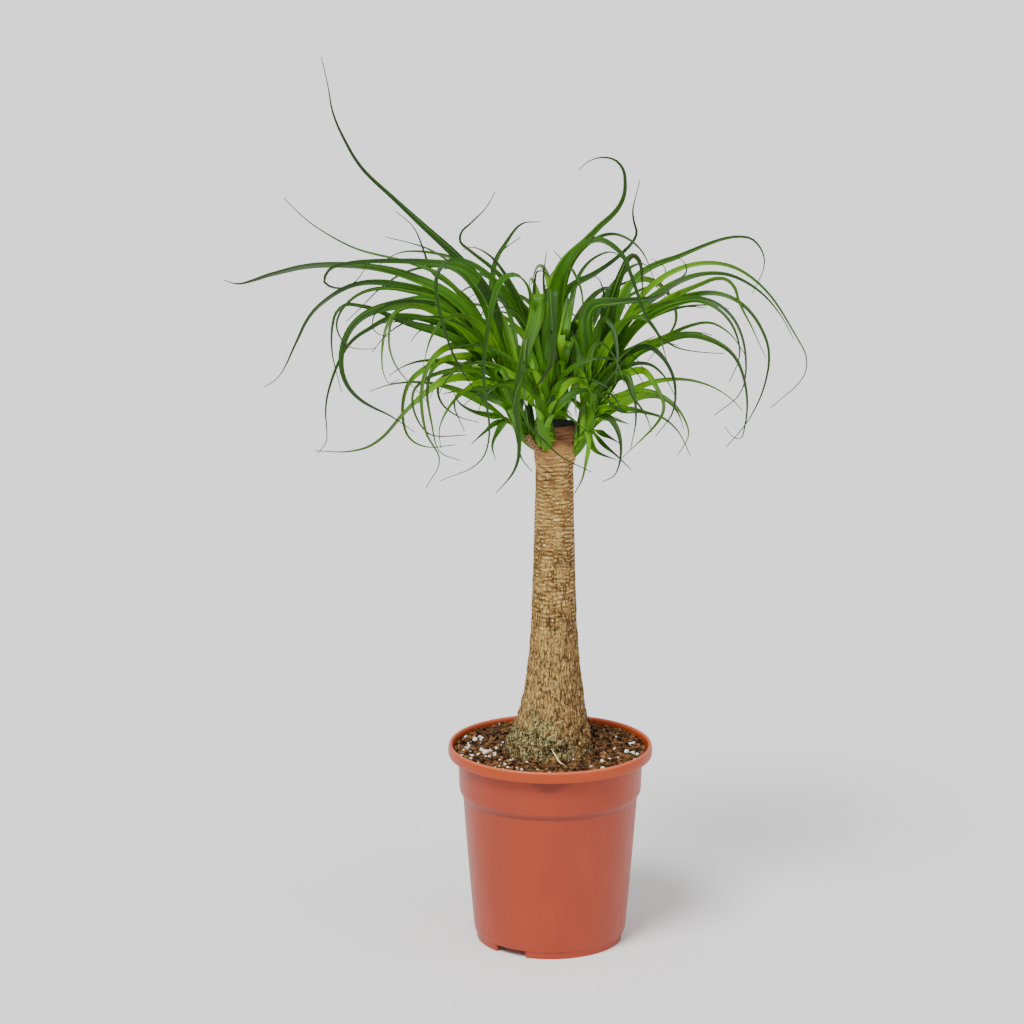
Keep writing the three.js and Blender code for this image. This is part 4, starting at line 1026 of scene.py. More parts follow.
@dataclass
class Trunk:
    """The cane: a swollen base, cork plates, ring scars and a flat cut top."""

    outline: tuple = (
        (152, 24, -2.5), (166, 38, -2.5), (184, 45, -2.5), (198, 45.6, -2.5), (212, 42, -1.5),
        (225, 38.8, 0), (240, 34.5, 2), (263, 30.2, 3.5), (282, 27.6, 3.5), (308, 25, 3.5),
        (341, 22.9, 3.5), (375, 21.9, 3.5), (404, 20.8, 3.5), (431, 20.2, 3.5), (458, 19.7, 3.5),
        (480, 19.1, 3.5), (500, 19, 3.5), (512, 19.6, 4), (526, 21.3, 5), (538, 22, 5.5), (542.5, 21.2, 5.5))
    soft: int = 7
    sides: int = 210
    rows: int = 380
    buried: int = 8
    bare: float = 188.0
    ring_spacing: float = 4.3
    ring_relief: float = 0.45
    ringed_from: tuple = (285, 365)
    splits_below: tuple = (330, 470)
    cork_below: tuple = (270, 385)
    knobs_below: tuple = (215, 262)
    flakes_from: tuple = (506, 514)
    swellings: tuple = ((23, -6, 508, 9, 2.6), (-18, -4, 509, 9, 1.6), (-4, -20, 507, 8, 1.4))
    cut_rings: tuple = ((0.96, -0.2), (0.9, 0.5), (0.75, 0.9), (0.5, 1.1), (0.25, 1.2))
    cut_drop: float = 1.2

    def at(self, height: np.ndarray | float, column: int) -> np.ndarray:
        """The outline's radius (column 1) or its middle's shift to the right (column 2) at heights."""
        table = np.array(self.outline, float)
        fine = np.arange(table[0, 0], table[-1, 0] + 1)
        return np.interp(height, fine, softened(np.interp(fine, table[:, 0], table[:, column]), self.soft))

    def skin(self, angle: np.ndarray, height: float) -> np.ndarray:
        """How far the smooth trunk reaches from the pot's axis in directions, at a height."""
        radius, shift = float(self.at(height, 1)), float(self.at(height, 2))
        return shift * np.cos(angle) + np.sqrt(np.maximum(radius ** 2 - (shift * np.sin(angle)) ** 2, 0))

    def rings(self, surface: np.ndarray) -> tuple[np.ndarray, np.ndarray]:
        """The ring scars.

        Args:
            surface: Points on the smooth trunk, round its own middle.

        Returns:
            The count of rings below each point, and how strongly the rings show there.
        """
        height = surface[:, 2]
        phase = height / self.ring_spacing + 0.8 * perlin(surface * (1, 1, 0.3), 26)
        phase += 0.16 * perlin(surface, 8, 2.0)
        phase += 0.5 * smoothstep(perlin(surface * (1, 1, 0.1), 13, 31.0), -0.04, 0.04)
        ringed = smoothstep(height, *self.ringed_from) * (1 - 0.4 * smoothstep(height, 502, 510))
        return phase, ringed * np.clip(0.8 + 0.7 * perlin(surface, 11, 5.0), 0, 1)

    def relief(self, surface: np.ndarray) -> tuple[np.ndarray, np.ndarray]:
        """How the bark stands out.

        Args:
            surface: Points on the smooth trunk, round its own middle.

        Returns:
            How far the bark stands out at each point, and how deep in a groove the point lies, 0 to 1.
        """
        height = surface[:, 2]
        phase, ringed = self.rings(surface)
        out = self.ring_relief * ringed * (np.sin(np.pi * (phase - np.floor(phase))) - 0.6)

        split = np.clip(1 - np.abs(perlin(surface * (1, 1, 0.16), 5.2, 9.0)) / 0.13, 0, 1)
        split *= smoothstep(perlin(surface * (1, 1, 0.5), 12, 6.0), -0.25, 0.25)
        split *= 1 - smoothstep(height, *self.splits_below)

        warp = np.column_stack([perlin(surface, 9, shift) for shift in (21.0, 23.0, 27.0)])
        crack, own = plates((surface + 1.8 * warp) * (1, 1, 0.36), 5.4)
        corky = 1 - smoothstep(height, *self.cork_below)

        knobby = 1 - smoothstep(height, *self.knobs_below)
        knobs = 2.1 * perlin(surface, 8, 4.0) + 3.4 * np.abs(perlin(surface, 4.2, 8.0)) - 1.0

        top = smoothstep(height, *self.flakes_from)
        flakes = 0.5 * perlin(surface * (1, 1, 1.6), 6.5, 11.0) + 0.4 * np.abs(perlin(surface, 2.6, 13.0))

        out += corky * (0.8 * own + 0.3 - 0.9 * crack) + knobby * knobs + top * flakes - 0.9 * split
        out += 0.25 * perlin(surface, 2.4, 17.0) + 0.5 * perlin(surface, 14, 19.0)
        for x, y, z, size, rise in self.swellings:
            out += rise * np.exp(-(np.linalg.norm(surface - (x, y, z), axis=1) / size) ** 2)
        # How deep in a groove each point lies, which the bark darkens as painted shade
        groove = np.max((
            0.55 * split, 0.5 * corky * crack ** 2, 0.75 * knobby * smoothstep(-knobs, -0.1, 1.5),
            0.4 * top * smoothstep(-flakes, 0.05, 0.5)), axis=0)
        return out, groove

    def build(self, material: bpy.types.Material) -> bpy.types.Object:
        """Makes the trunk from below the soil to its cut top.

        Args:
            material: The bark.

        Returns:
            The trunk.
        """
        low, high = self.outline[0][0], self.outline[-1][0]
        under = np.linspace(low, self.bare, self.buried, endpoint=False)
        heights = np.concatenate((under, np.linspace(self.bare, high, self.rows)))
        angle, height = (grid.ravel() for grid in np.meshgrid(circle(self.sides), heights))
        way = np.column_stack((np.cos(angle), np.sin(angle), np.zeros(len(angle))))
        surface = at_height(way * self.at(height, 1)[:, None], height)
        out, groove = self.relief(surface)
        points = surface + way * out[:, None]
        points[:, 2] -= 1.4 * smoothstep(height, high - 2.5, high)
        points[:, 0] += self.at(height, 2)
        middle = np.array((float(self.at(high, 2)), 0, 0))
        rows, rim = [points], points[-self.sides:]
        for share, drop in self.cut_rings:
            ring = middle + (rim - middle) * (share, share, 0) + (0, 0, high - self.cut_drop - drop)
            ring[:, 2] += 0.5 * perlin(ring, 3.4)
            rows.append(ring)
        every = np.vstack(rows + [(0, 0, low), middle + (0, 0, high - 2 * self.cut_drop)])
        spare = len(every) - len(points)
        phase, ringed, groove = (np.pad(value, (0, spare)) for value in (*self.rings(surface), groove))
        skin = Surface()
        skin.add(
            every, pointed(len(heights) + len(self.cut_rings), self.sides), height=every[:, 2],
            cut=np.arange(len(every)) >= len(points), groove=groove, phase=phase, ringed=ringed,
            right=smoothstep(every[:, 0], 0, 30))
        made = skin.piece("trunk_bark", material, Slot.BARK)
        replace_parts(made, "trunk")
        return made


@dataclass
class Soil:
    """The potting mix, with crumbs, fibres, perlite and bark chips on it."""

    top: float = 199.4
    crown: float = 2.2
    mound: float = 2.8
    edge: float = 99.0
    floor: float = 9.6
    hole: tuple = (189.0, 152.0)
    round_trunk: float = 199.8
    clear_of_trunk: float = 202.8
    rings: int = 84
    sides: int = 220
    crumbs: int = 1000
    crumb_seed: int = 101
    fibres: int = 220
    fibre_steps: int = 7
    fibre_length: tuple = (6, 22)
    fibre_half: tuple = (0.2, 0.45)
    grains: int = 120
    grain_seed: int = 211
    chips: int = 46
    chip_seed: int = 307
    chip_size: tuple = (1.6, 4.2)
    chip_tilt: tuple = (-0.5, 0.5)
    placed_grains: tuple = (
        (-78, 30, 3.2), (-72, 33, 2.6), (-84, 10, 2.8), (-86, 2, 2.6), (-70, -6, 3.4), (-62, -8, 2.6),
        (-66, -18, 4.0), (-62, -30, 2.4), (-92, -26, 3.0), (-90, -38, 3.2), (-78, -50, 2.6),
        (-48, -72, 2.4), (-50, -80, 2.4), (78, -14, 3.0), (84, -16, 3.0), (89, -18, 2.4), (86, 18, 2.0),
        (52, -46, 3.0), (60, -42, 2.6), (52, -66, 2.6), (40, -62, 2.2), (-74, -22, 2.4), (-57, -22, 2.4))
    upright_chips: tuple = ((-71, 57, 5.0), (41, 84, 4.2), (47, 82, 3.2))

    def lift(self, points: np.ndarray) -> np.ndarray:
        """The surface's height at points across the pot."""
        flat = at_height(points, 0)
        radius = np.hypot(points[:, 0], points[:, 1]) / self.edge
        fade = 1 - np.minimum(radius, 1) ** 8
        rough = 1.7 * perlin(flat, 26, 3.1) + 1.3 * perlin(flat, 9, 7.7)
        rough += 0.8 * perlin(flat, 3.6, 1.9) + 0.45 * np.abs(perlin(flat, 1.7, 4.2))
        heaped = self.mound * smoothstep(points[:, 1], 0, 60)
        return self.top + self.crown * (1 - radius ** 2) + heaped + (0.35 + 0.65 * fade) * rough

    def spot(self, x: float, y: float) -> np.ndarray:
        """The surface's point at a place across the pot."""
        return np.array((x, y, float(self.lift(np.array(((x, y, 0.0),)))[0])))

    def ground(self, trunk: Trunk) -> Skin:
        """The solid's skin: the rough top, the wall and the floor, round the trunk's hole."""
        turn, pot = circle(self.sides), Pot()
        way = np.column_stack((np.cos(turn), np.sin(turn)))
        top, bottom = self.hole
        below = trunk.skin(turn, top)[:, None] + 0.4
        hole = way * below
        rows = [at_height(0.6 * hole, bottom - 1), at_height(hole, bottom), at_height(hole, top)]
        inner = trunk.skin(turn, self.round_trunk)[:, None] - 1.0
        for share in np.linspace(0, 1, self.rings):
            flat = way * (inner + (self.edge - inner) * share)
            rows.append(at_height(flat, self.lift(flat)))
        rows += [at_height(way * radius, height) for radius, height in (
            (pot.shoulder - 1.6, pot.height - 12.8), (pot.shoulder - pot.wall - 0.4, pot.height - 16),
            (pot.shoulder - pot.wall - 1.5, pot.step_top), (pot.body_top - pot.wall - 0.4, pot.step_bottom),
            (pot.body_bottom - pot.wall - 0.4, pot.bend + 1), (pot.body_bottom - pot.wall - 3, self.floor))]
        return np.concatenate(rows), [face[::-1] for face in capped(len(rows), self.sides)]

    def scatter(self, draws: Draws, trunk: Trunk, left: float = 0.0) -> np.ndarray:
        """A place on the soil's surface.

        Args:
            draws: Where the random numbers come from.
            trunk: The trunk, which is kept clear.
            left: How strongly the places gather at the left, 0 to 1.

        Returns:
            The place.
        """
        while True:
            x, y = (draws.between(-self.edge, self.edge) for _ in range(2))
            radius, angle = math.hypot(x, y), math.atan2(y, x)
            taken = float(trunk.skin(np.array([angle]), self.clear_of_trunk)[0]) + 1
            if radius > self.edge - 2 or radius < taken or (x > -15 and draws.next() < left):
                continue
            return self.spot(x, y)

    def lump(self, draws: Draws, place: np.ndarray, size: float, flat: float, rough: float = 0.42) -> Skin:
        """A small rough lump, sunk a little into the soil.

        Args:
            draws: Where the random numbers come from.
            place: Where it lies.
            size: Its radius.
            flat: Its height as a share of its width.
            rough: How far its surface strays from round.

        Returns:
            Its skin.
        """
        shape, faces = ball()
        shape = shape * (1 + rough * perlin(shape + draws.next() * 40, 0.9))[:, None]
        angle = draws.between(0, 2 * math.pi)
        stretch = np.array((1, draws.between(0.6, 1), flat))
        return spun(shape * stretch, angle, 0, 1) * size + place + (0, 0, 0.35 * size * flat), faces

    def strand(self, draws: Draws, place: np.ndarray, length: float, half: float) -> Skin:
        """A thin curved fibre that lies on the soil.

        Args:
            draws: Where the random numbers come from.
            place: Where its middle lies.
            length: Its length.
            half: Half its thickness.

        Returns:
            Its skin.
        """
        angle = draws.between(0, 2 * math.pi)
        bend, tilt = draws.between(-1.4, 1.4), draws.between(-0.12, 0.3)
        spot, up, rings = place - length / 2 * level(angle), np.array((0, 0, 1)), []
        for share in np.linspace(0, 1, self.fibre_steps):
            way = angle + bend * (share - 0.5)
            side = level(way + math.pi / 2)
            thick = half * (1 - 0.6 * abs(2 * share - 1) ** 3)
            rise = up * (half + length * tilt * (share - 0.5) + 0.8)
            rings += [spot + rise + thick * reach for reach in (side, up, -side, -up)]
            spot = spot + length / (self.fibre_steps - 1) * level(way)
        return np.array(rings), [face[::-1] for face in capped(self.fibre_steps, 4)]

    def build(self, trunk: Trunk) -> None:
        """Makes the soil and what lies on it.

        Args:
            trunk: The trunk, which the soil closes round.
        """
        finish = SoilFinish().material("potting_mix")
        skin = Surface()
        skin.add(*self.ground(trunk), tone=0.0)
        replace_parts(skin.piece("soil_bed", finish, Slot.SOIL), "soil")
        draws, crumbs, fibres = Draws(self.crumb_seed), Surface(), Surface()
        for _ in range(self.crumbs):
            place = self.scatter(draws, trunk)
            size = 0.7 + 2.0 * draws.next() ** 2
            crumbs.add(*self.lump(draws, place, size, 0.8), tone=draws.next() ** 4)
        crumbs.piece("soil_crumbs", finish, Slot.SOIL)
        for _ in range(self.fibres):
            place = self.scatter(draws, trunk)
            length, half = draws.between(*self.fibre_length), draws.between(*self.fibre_half)
            fibres.add(*self.strand(draws, place, length, half), tone=draws.between(0.2, 0.9))
        fibres.piece("soil_fibres", finish, Slot.SOIL)
        self.build_grains(trunk)
        self.build_chips(trunk)

    def build_grains(self, trunk: Trunk) -> None:
        """Makes the white perlite grains: the large ones where the photo shows them, the rest by rule."""
        finish = PlainFinish("perlite", srgb(255, 252, 244), srgb(234, 226, 208), 1.6).material()
        draws, grains = Draws(self.grain_seed), Surface()
        for x, y, size in self.placed_grains:
            grains.add(*self.lump(draws, self.spot(x, y), 0.95 * size, 0.7, 0.85), tone=0)
        for _ in range(self.grains):
            place = self.scatter(draws, trunk, 0.6)
            grains.add(*self.lump(draws, place, 0.5 + 1.7 * draws.next() ** 2.2, 0.7, 0.85), tone=0)
        grains.piece("perlite_grains", finish, Slot.SOIL)

    def build_chips(self, trunk: Trunk) -> None:
        """Makes the bark chips, three of which stand up near the back edge."""
        finish = PlainFinish("bark_chips", srgb(104, 66, 42), srgb(48, 30, 22), 3.0).material()
        draws, chips, origin = Draws(self.chip_seed), Surface(), np.zeros(3)
        for _ in range(self.chips):
            place = self.scatter(draws, trunk)
            points, faces = self.lump(draws, origin, draws.between(*self.chip_size), 0.28)
            tilted = spun(points, draws.between(*self.chip_tilt), 2, 0)
            chips.add(tilted + place + (0, 0, 0.6), faces, tone=0)
        for x, y, size in self.upright_chips:
            points, faces = self.lump(draws, origin, size, 0.3)
            upright = points[:, (2, 1, 0)] * (1, 0.6, 1.1)
            chips.add(upright + self.spot(x, y) + (0, 0, 0.6 * size), [face[::-1] for face in faces], tone=0)
        chips.piece("bark_chips", finish, Slot.SOIL)


@dataclass
class Leaf:
    """A leaf's middle line and half widths, at even steps from root to tip."""

    points: np.ndarray
    halves: np.ndarray
    tone: float = 0.5
    fresh: float = 0.6
    turned: float = 1.0


@dataclass
class LeafRules:
    """How a leaf is laid out: the same steps as the solid part's leaves."""

    samples: int = 48
    slant: float = 1.3
    taper: float = 2.1
    read_taper: float = 2.2
    thread: float = 0.75
    ruled_steps: int = 12
    clear: float = 2.0
    spread: int = 7
    rounds: int = 8
    rooted: int = 4
    below_cut: float = 552.0
    root_ring: float = 6.0
    root_rise: float = 34.0
    lean: tuple = (4, 42, 6)
    hang: tuple = (105, 168)
    curl: float = 60.0
    width: tuple = (7, 11)
    finer_sweep: float = 60.0
    finer_lean: tuple = (4, 34)
    finer_hang: tuple = (120, 178)
    finer_curl: tuple = (-50, 50)
    finer_width: tuple = (5, 9)
    finer_length: tuple = (0.45, 0.95)

    def root(self, heart: np.ndarray, direction: float, steepness: float) -> np.ndarray:
        """A leaf's root on a ring round its shoot's heart: the steeper the leaf, the higher it springs."""
        ring = self.root_ring * (1 - 0.5 * steepness)
        return heart + ring * level(direction) + (0, 0, self.root_rise * steepness)

    def read(self, heart: np.ndarray, depths: list, route: list) -> np.ndarray:
        """The points of a leaf read one by one.

        Args:
            heart: The point that the shoot's leaves spring from.
            depths: Its depths from root to tip, evenly spaced.
            route: Its route [across, up] as seen from the viewpoint.

        Returns:
            Its points, the root first.
        """
        flat = np.array(route, float)
        run = run_along(flat)
        depth = np.interp(run / run[-1], np.linspace(0, 1, len(depths)), depths)
        points = np.column_stack((flat[:, 0], np.zeros(len(flat)), flat[:, 1]))
        points = points + sight(points) * depth[:, None]
        lean = points[len(points) // 2] - heart
        launch = points[min(2, len(points) - 1)] - heart
        climb = math.atan2(launch[2], math.hypot(launch[0], launch[1]))
        room = smoothstep(points[0][2], heart[2] + self.root_rise / 3, heart[2] + 2 * self.root_rise)
        steepness = float(room * smoothstep(climb, 0.5, 1.4))
        return np.vstack((self.root(heart, math.atan2(lean[1], lean[0]), steepness), points))

    def ruled(
        self, heart: np.ndarray, steepness: float, length: float, angles: tuple[float, float, float, float],
    ) -> np.ndarray:
        """The points of a leaf placed by rule: it rises, arches over and hangs.

        Args:
            heart: The point that the shoot's leaves spring from.
            steepness: How steep it is at its root, 0 to 1.
            length: Its length.
            angles: The way it leans from +X, its lean from upright at the root and at the tip, and how far
                it turns sideways on its way, in degrees.

        Returns:
            Its points, the root first.
        """
        direction, rise, hang, curl = (math.radians(angle) for angle in angles)
        points = [self.root(heart, direction, steepness)]
        for i in range(self.ruled_steps):
            lean = rise + (hang - rise) * (i / self.ruled_steps) ** 1.25
            direction += curl / self.ruled_steps
            step = math.sin(lean) * level(direction) + (0, 0, math.cos(lean))
            points.append(points[-1] + length / self.ruled_steps * step)
        return np.array(points)

    def grow(self, width: float, knots: np.ndarray, taper: float) -> Leaf:
        """A leaf of a width along knots, evenly sampled, that narrows by a power."""
        share = np.linspace(0, 1, self.samples + 1)
        full = (0.66 + 0.34 * np.sin(np.pi * np.minimum(share / 0.6, 1))) * (1 - share ** taper)
        thread = self.thread * (1 - 0.5 * share ** 6)
        return Leaf(spaced(knots, self.samples), np.maximum(width / 2 * full, thread))

    def bend_clear(self, leaf: Leaf, others: list[Leaf], trunk: Trunk) -> None:
        """Bends a leaf in depth until it is clear of the trunk and of the other shoots' leaves.

        Args:
            leaf: The leaf, which is changed.
            others: The leaves of the shoots before it.
            trunk: The trunk.
        """
        steps = np.arange(self.samples + 1)
        far = np.concatenate([other.points for other in others] or [np.zeros((0, 3))])
        far_half = np.concatenate([other.halves for other in others] or [np.zeros(0)])
        window = np.cos(np.arange(-self.spread, self.spread + 1) / (self.spread + 1) * math.pi / 2) ** 2
        ease = smoothstep(steps, 2, 8)
        for _ in range(self.rounds):
            points = leaf.points
            low = (points[:, 2] < self.below_cut) & (steps > self.rooted)
            across = points[:, 0] - trunk.at(points[:, 2], 2)
            reach = trunk.at(points[:, 2], 1) + leaf.halves + self.clear
            short = np.where(low, reach - np.hypot(across, points[:, 1]), 0)
            push = np.maximum(short, 0) * np.sign(points[:, 1])
            if others:
                need = leaf.halves[:, None] + far_half + self.clear
                lack = need - np.linalg.norm(points[:, None] - far, axis=2)
                most = lack.argmax(1)
                worst = lack[steps, most]
                side = np.where(points[:, 1] >= far[most, 1], 1.0, -1.0)
                push = np.where(worst > np.abs(push), worst * side, push)
            if not push.any():
                return
            padded = np.pad(push, self.spread)
            spans = np.stack([padded[k:k + len(steps)] * w for k, w in enumerate(window)])
            shift = spans[np.abs(spans).argmax(0), steps]
            leaf.points = points + sight(points) * (shift * ease)[:, None]


@dataclass
class Blade:
    """A leaf's skin: a thin channelled strip, creased along its middle."""

    steps: int = 60
    thick: float = 0.6
    channel: float = 0.26
    crease: float = 0.12
    facing: float = 0.88
    too_far: float = 2.0
    soft: int = 6
    columns: tuple = (-1, -0.72, -0.38, 0, 0.38, 0.72, 1)

    def frames(self, points: np.ndarray, facing: float, draws: Draws) -> tuple[np.ndarray, np.ndarray]:
        """The directions along and across the blade at each point.

        Args:
            points: The middle line.
            facing: How far it is turned to show its width from the front, 0 to 1.
            draws: Where its own slow twist comes from.

        Returns:
            The tangents and the directions across.
        """
        out = unit((points[len(points) // 2:].mean(0) - points[0]) * (1, 1, 0))
        tangents = unit(np.gradient(points, axis=0))
        ripple, phase, swing = draws.between(0.15, 0.5), draws.between(0, 6.3), draws.between(1.2, 2.6)
        across, sides = np.array((-out[1], out[0], 0)), []
        for tangent in tangents:
            across = unit(across - tangent * across.dot(tangent))
            sides.append(across)
        sides = np.array(sides)
        share = np.linspace(0, 1, len(points))
        angle = facing * self.showing(points, tangents, sides) * smoothstep(share, 0.04, 0.33)
        angle = (angle + ripple * share * np.sin(swing * math.pi * share + phase))[:, None]
        return tangents, sides * np.cos(angle) + np.cross(tangents, sides) * np.sin(angle)

    def showing(self, points: np.ndarray, tangents: np.ndarray, sides: np.ndarray) -> np.ndarray:
        """The turns about the blade's own line that would show its whole width from the front.

        Args:
            points: The middle line.
            tangents: The directions along it.
            sides: The directions across the blade before the turn.

        Returns:
            One angle a point, in radians, which changes gently along the blade.
        """
        upper = np.cross(tangents, sight(points))
        full = upper.copy()
        for i in range(1, len(full)):
            full[i] *= 1.0 if full[i].dot(full[i - 1]) >= 0 else -1.0
        if (full * upper).sum() < 0:
            full = -full
        turns = np.unwrap(np.arctan2((np.cross(sides, full) * tangents).sum(1), (sides * full).sum(1)))
        middle = float(turns[len(turns) // 5:].mean())
        if abs(middle) > self.too_far:
            turns -= math.copysign(math.pi * round(abs(middle) / math.pi + 0.1), middle)
        return softened(turns, self.soft)

    def add(self, skin: Surface, leaf: Leaf, draws: Draws) -> None:
        """Adds a leaf's skin to a surface.

        Args:
            skin: The surface.
            leaf: The leaf.
            draws: Where its own small differences come from.
        """
        share = np.linspace(0, 1, self.steps + 1)
        points = spaced(leaf.points[::2], self.steps)
        halves = np.interp(share, np.linspace(0, 1, len(leaf.halves)), leaf.halves)
        tangents, sides = self.frames(points, self.facing * leaf.turned, draws)
        ups = np.cross(tangents, sides)
        cup = halves * self.channel * (1 + 1.3 * (1 - smoothstep(share, 0.0, 0.18))) * (1 - 0.5 * share)
        thick = np.minimum(self.thick, 0.9 * halves + 0.1)
        spread = self.columns + self.columns[-2:0:-1]
        rings = []
        for i, u in enumerate(spread):
            upper = self.crease * cup * max(0, 1 - 3 * abs(u))
            lift = cup * u * u - (upper if i < len(self.columns) else thick * (1 - 0.6 * u * u))
            rings.append(points + sides * (halves * u)[:, None] + ups * lift[:, None])
        rows, count = len(points), len(spread)
        skin.add(
            np.stack(rings, 1).reshape(-1, 3), capped(rows, count), along=np.repeat(share, count),
            across=np.tile(spread, rows), tone=leaf.tone, fresh=leaf.fresh)


@dataclass
class Shoot:
    """A shoot: a short core that grows from the trunk, the leaf bases round it, and its rosette."""

    name: str
    core: list
    heart: tuple
    count: int
    sweep: tuple
    lengths: tuple
    seed: int
    finer_seed: int
    extra: int = 11
    lime: float = 0.3
    collar: tuple = ()
    core_steps: int = 24
    core_sides: int = 28
    sheaths: int = 12
    sheath_turn: float = 2.4
    sheath_length: tuple = (34, 62)
    sheath_half: tuple = (5.5, 7.5)
    wrap_half: float = 5.6
    thinnest: float = 0.3
    below_cut: float = 545.0
    leaves: list[Leaf] = field(default_factory=list)

    def lay_out(self, rules: LeafRules, before: list[Leaf], trunk: Trunk) -> None:
        """Lays out the leaves: those read one by one, those placed by rule, and finer ones among them.

        Args:
            rules: How leaves are laid out.
            before: The leaves of the shoots before this one.
            trunk: The trunk.
        """
        heart = np.array(self.heart, float)
        tapers = READ_TAPERS.get(self.name, {})
        for i, (width, depths, route) in enumerate(READ_LEAVES[self.name]):
            knots = rules.read(heart, depths, route)
            self.leaves.append(rules.grow(rules.slant * width, knots, tapers.get(i, rules.read_taper)))
        self.lay_ruled(rules, heart)
        for leaf in self.leaves:
            rules.bend_clear(leaf, before, trunk)
        tones = Draws(self.seed + 2000)
        for leaf in self.leaves:
            leaf.tone = tones.next()
            leaf.fresh = tones.between(0.35, 0.9)
        for i, tone in READ_TONES.get(self.name, {}).items():
            self.leaves[i].tone = tone
        for i, turned in READ_TURNS.get(self.name, {}).items():
            self.leaves[i].turned = turned
        before += self.leaves

    def lay_ruled(self, rules: LeafRules, heart: np.ndarray) -> None:
        """Lays out the leaves that are placed by rule, and then the finer ones.

        Args:
            rules: How leaves are laid out.
            heart: The point that they spring from.
        """
        low, high = self.sweep
        draws = Draws(self.seed)
        for i in range(self.count):
            direction = low + (high - low) * (i + 0.2 + 0.6 * draws.next()) / self.count
            tier = (i * 5) % 7 / 6
            length = draws.between(*self.lengths)
            least, more, stray = rules.lean
            rise, hang = least + more * tier + stray * draws.next(), draws.between(*rules.hang)
            curl = rules.curl * (draws.next() - 0.5)
            route = rules.ruled(heart, 1 - tier, length, (direction, rise, hang, curl))
            self.leaves.append(rules.grow(draws.between(*rules.width), route, rules.taper))
        finer = Draws(self.finer_seed)
        for _ in range(self.extra):
            direction = finer.between(low - rules.finer_sweep, high + rules.finer_sweep)
            rise, hang = finer.between(*rules.finer_lean), finer.between(*rules.finer_hang)
            steepness = 0.8 * finer.next()
            length = finer.between(*rules.finer_length) * self.lengths[1]
            angles = (direction, rise, hang, finer.between(*rules.finer_curl))
            route = rules.ruled(heart, steepness, length, angles)
            self.leaves.append(rules.grow(finer.between(*rules.finer_width), route, rules.taper))

    def sheath(self, i: int, draws: Draws, trunk: Trunk) -> Leaf:
        """One of the broad leaf bases that wrap the core.

        Args:
            i: Its number, from the lowest.
            draws: Where its small differences come from.
            trunk: The trunk, which it lies outside.

        Returns:
            The leaf base.
        """
        core = np.array(self.core, float)
        share = i / (self.sheaths - 1)
        *spot, radius = (np.interp(0.9 + 1.5 * share, range(len(core)), column) for column in core.T)
        way = level(i * self.sheath_turn + self.seed)
        inward = -unit(np.array((spot[0], spot[1], 0)))
        way -= inward * max(2 * way.dot(inward), 0)
        length = draws.between(*self.sheath_length)
        steps = np.linspace(0, 1, 5)[:, None]
        route = spot + way * (0.55 * radius + 3.5 * steps + 5 * share * steps ** 2)
        route += np.array((0, 0, length)) * steps * (1 - 0.1 * steps)
        rules = LeafRules()
        points = spaced(route, rules.samples)
        out = points[:, :2] - np.column_stack((trunk.at(points[:, 2], 2), np.zeros(len(points))))
        far = np.linalg.norm(out, axis=1)
        short = np.maximum(trunk.at(points[:, 2], 1) + 2 - far, 0) * (points[:, 2] < self.below_cut)
        points[:, :2] += out * (short / far)[:, None]
        along = np.linspace(0, 1, rules.samples + 1)
        halves = np.maximum(draws.between(*self.sheath_half) * (1 - along ** 1.6), self.thinnest)
        return Leaf(points, halves, draws.next(), draws.between(self.lime, 1))

    def wrapped(self, across: float, low: float) -> Leaf:
        """A leaf base that clasps the trunk's front, at a place across and from a height up."""
        route = np.array((
            (across, -20.5, low), (across - 0.3, -23.5, low + 9), (across - 0.8, -27, low + 24),
            (0.4 * across - 5, -33, low + 50)))
        rules = LeafRules()
        share = np.linspace(0, 1, rules.samples + 1)
        halves = self.wrap_half * np.sqrt(np.clip(share / 0.12, 0.08, 1)) * (1 - share ** 2.2)
        return Leaf(spaced(route, rules.samples), np.maximum(halves, self.thinnest), 0.15, 0.5)

    def add_core(self, skin: Surface) -> None:
        """Adds the core's own skin to a surface."""
        stations = np.array(self.core[:-1], float)
        fine = spaced(stations[:, :3], self.core_steps)
        places = np.linspace(0, len(stations) - 1, self.core_steps + 1)
        radii = np.interp(places, range(len(stations)), stations[:, 3])
        radii[-1] = 0.5 * radii[-2]
        lobes = 1 + 0.07 * np.sin(5 * circle(self.core_sides) + fine[:, 2:] * 0.12)
        points, faces = tube(fine, unit(np.gradient(fine, axis=0)), 0.8 * radii[:, None] * lobes)
        skin.add(points, faces, along=0.12, across=0.3, tone=0.2, fresh=0.4)

    def build(self, material: bpy.types.Material, trunk: Trunk) -> bpy.types.Object:
        """Makes the shoot with all its leaves.

        Args:
            material: The leaves' finish.
            trunk: The trunk.

        Returns:
            The shoot.
        """
        skin = Surface()
        draws = Draws(self.seed + 3000)
        self.add_core(skin)
        wrap, blade = Blade(steps=16, channel=0.75, facing=0.0), Blade()
        for i in range(self.sheaths):
            wrap.add(skin, self.sheath(i, draws, trunk), draws)
        for leaf in self.leaves:
            blade.add(skin, leaf, draws)
        for across, low in self.collar:
            wrap.add(skin, self.wrapped(across, low), draws)
        made = skin.piece(self.name + "_leaves", material, Slot.LEAF)
        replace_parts(made, self.name)
        return made


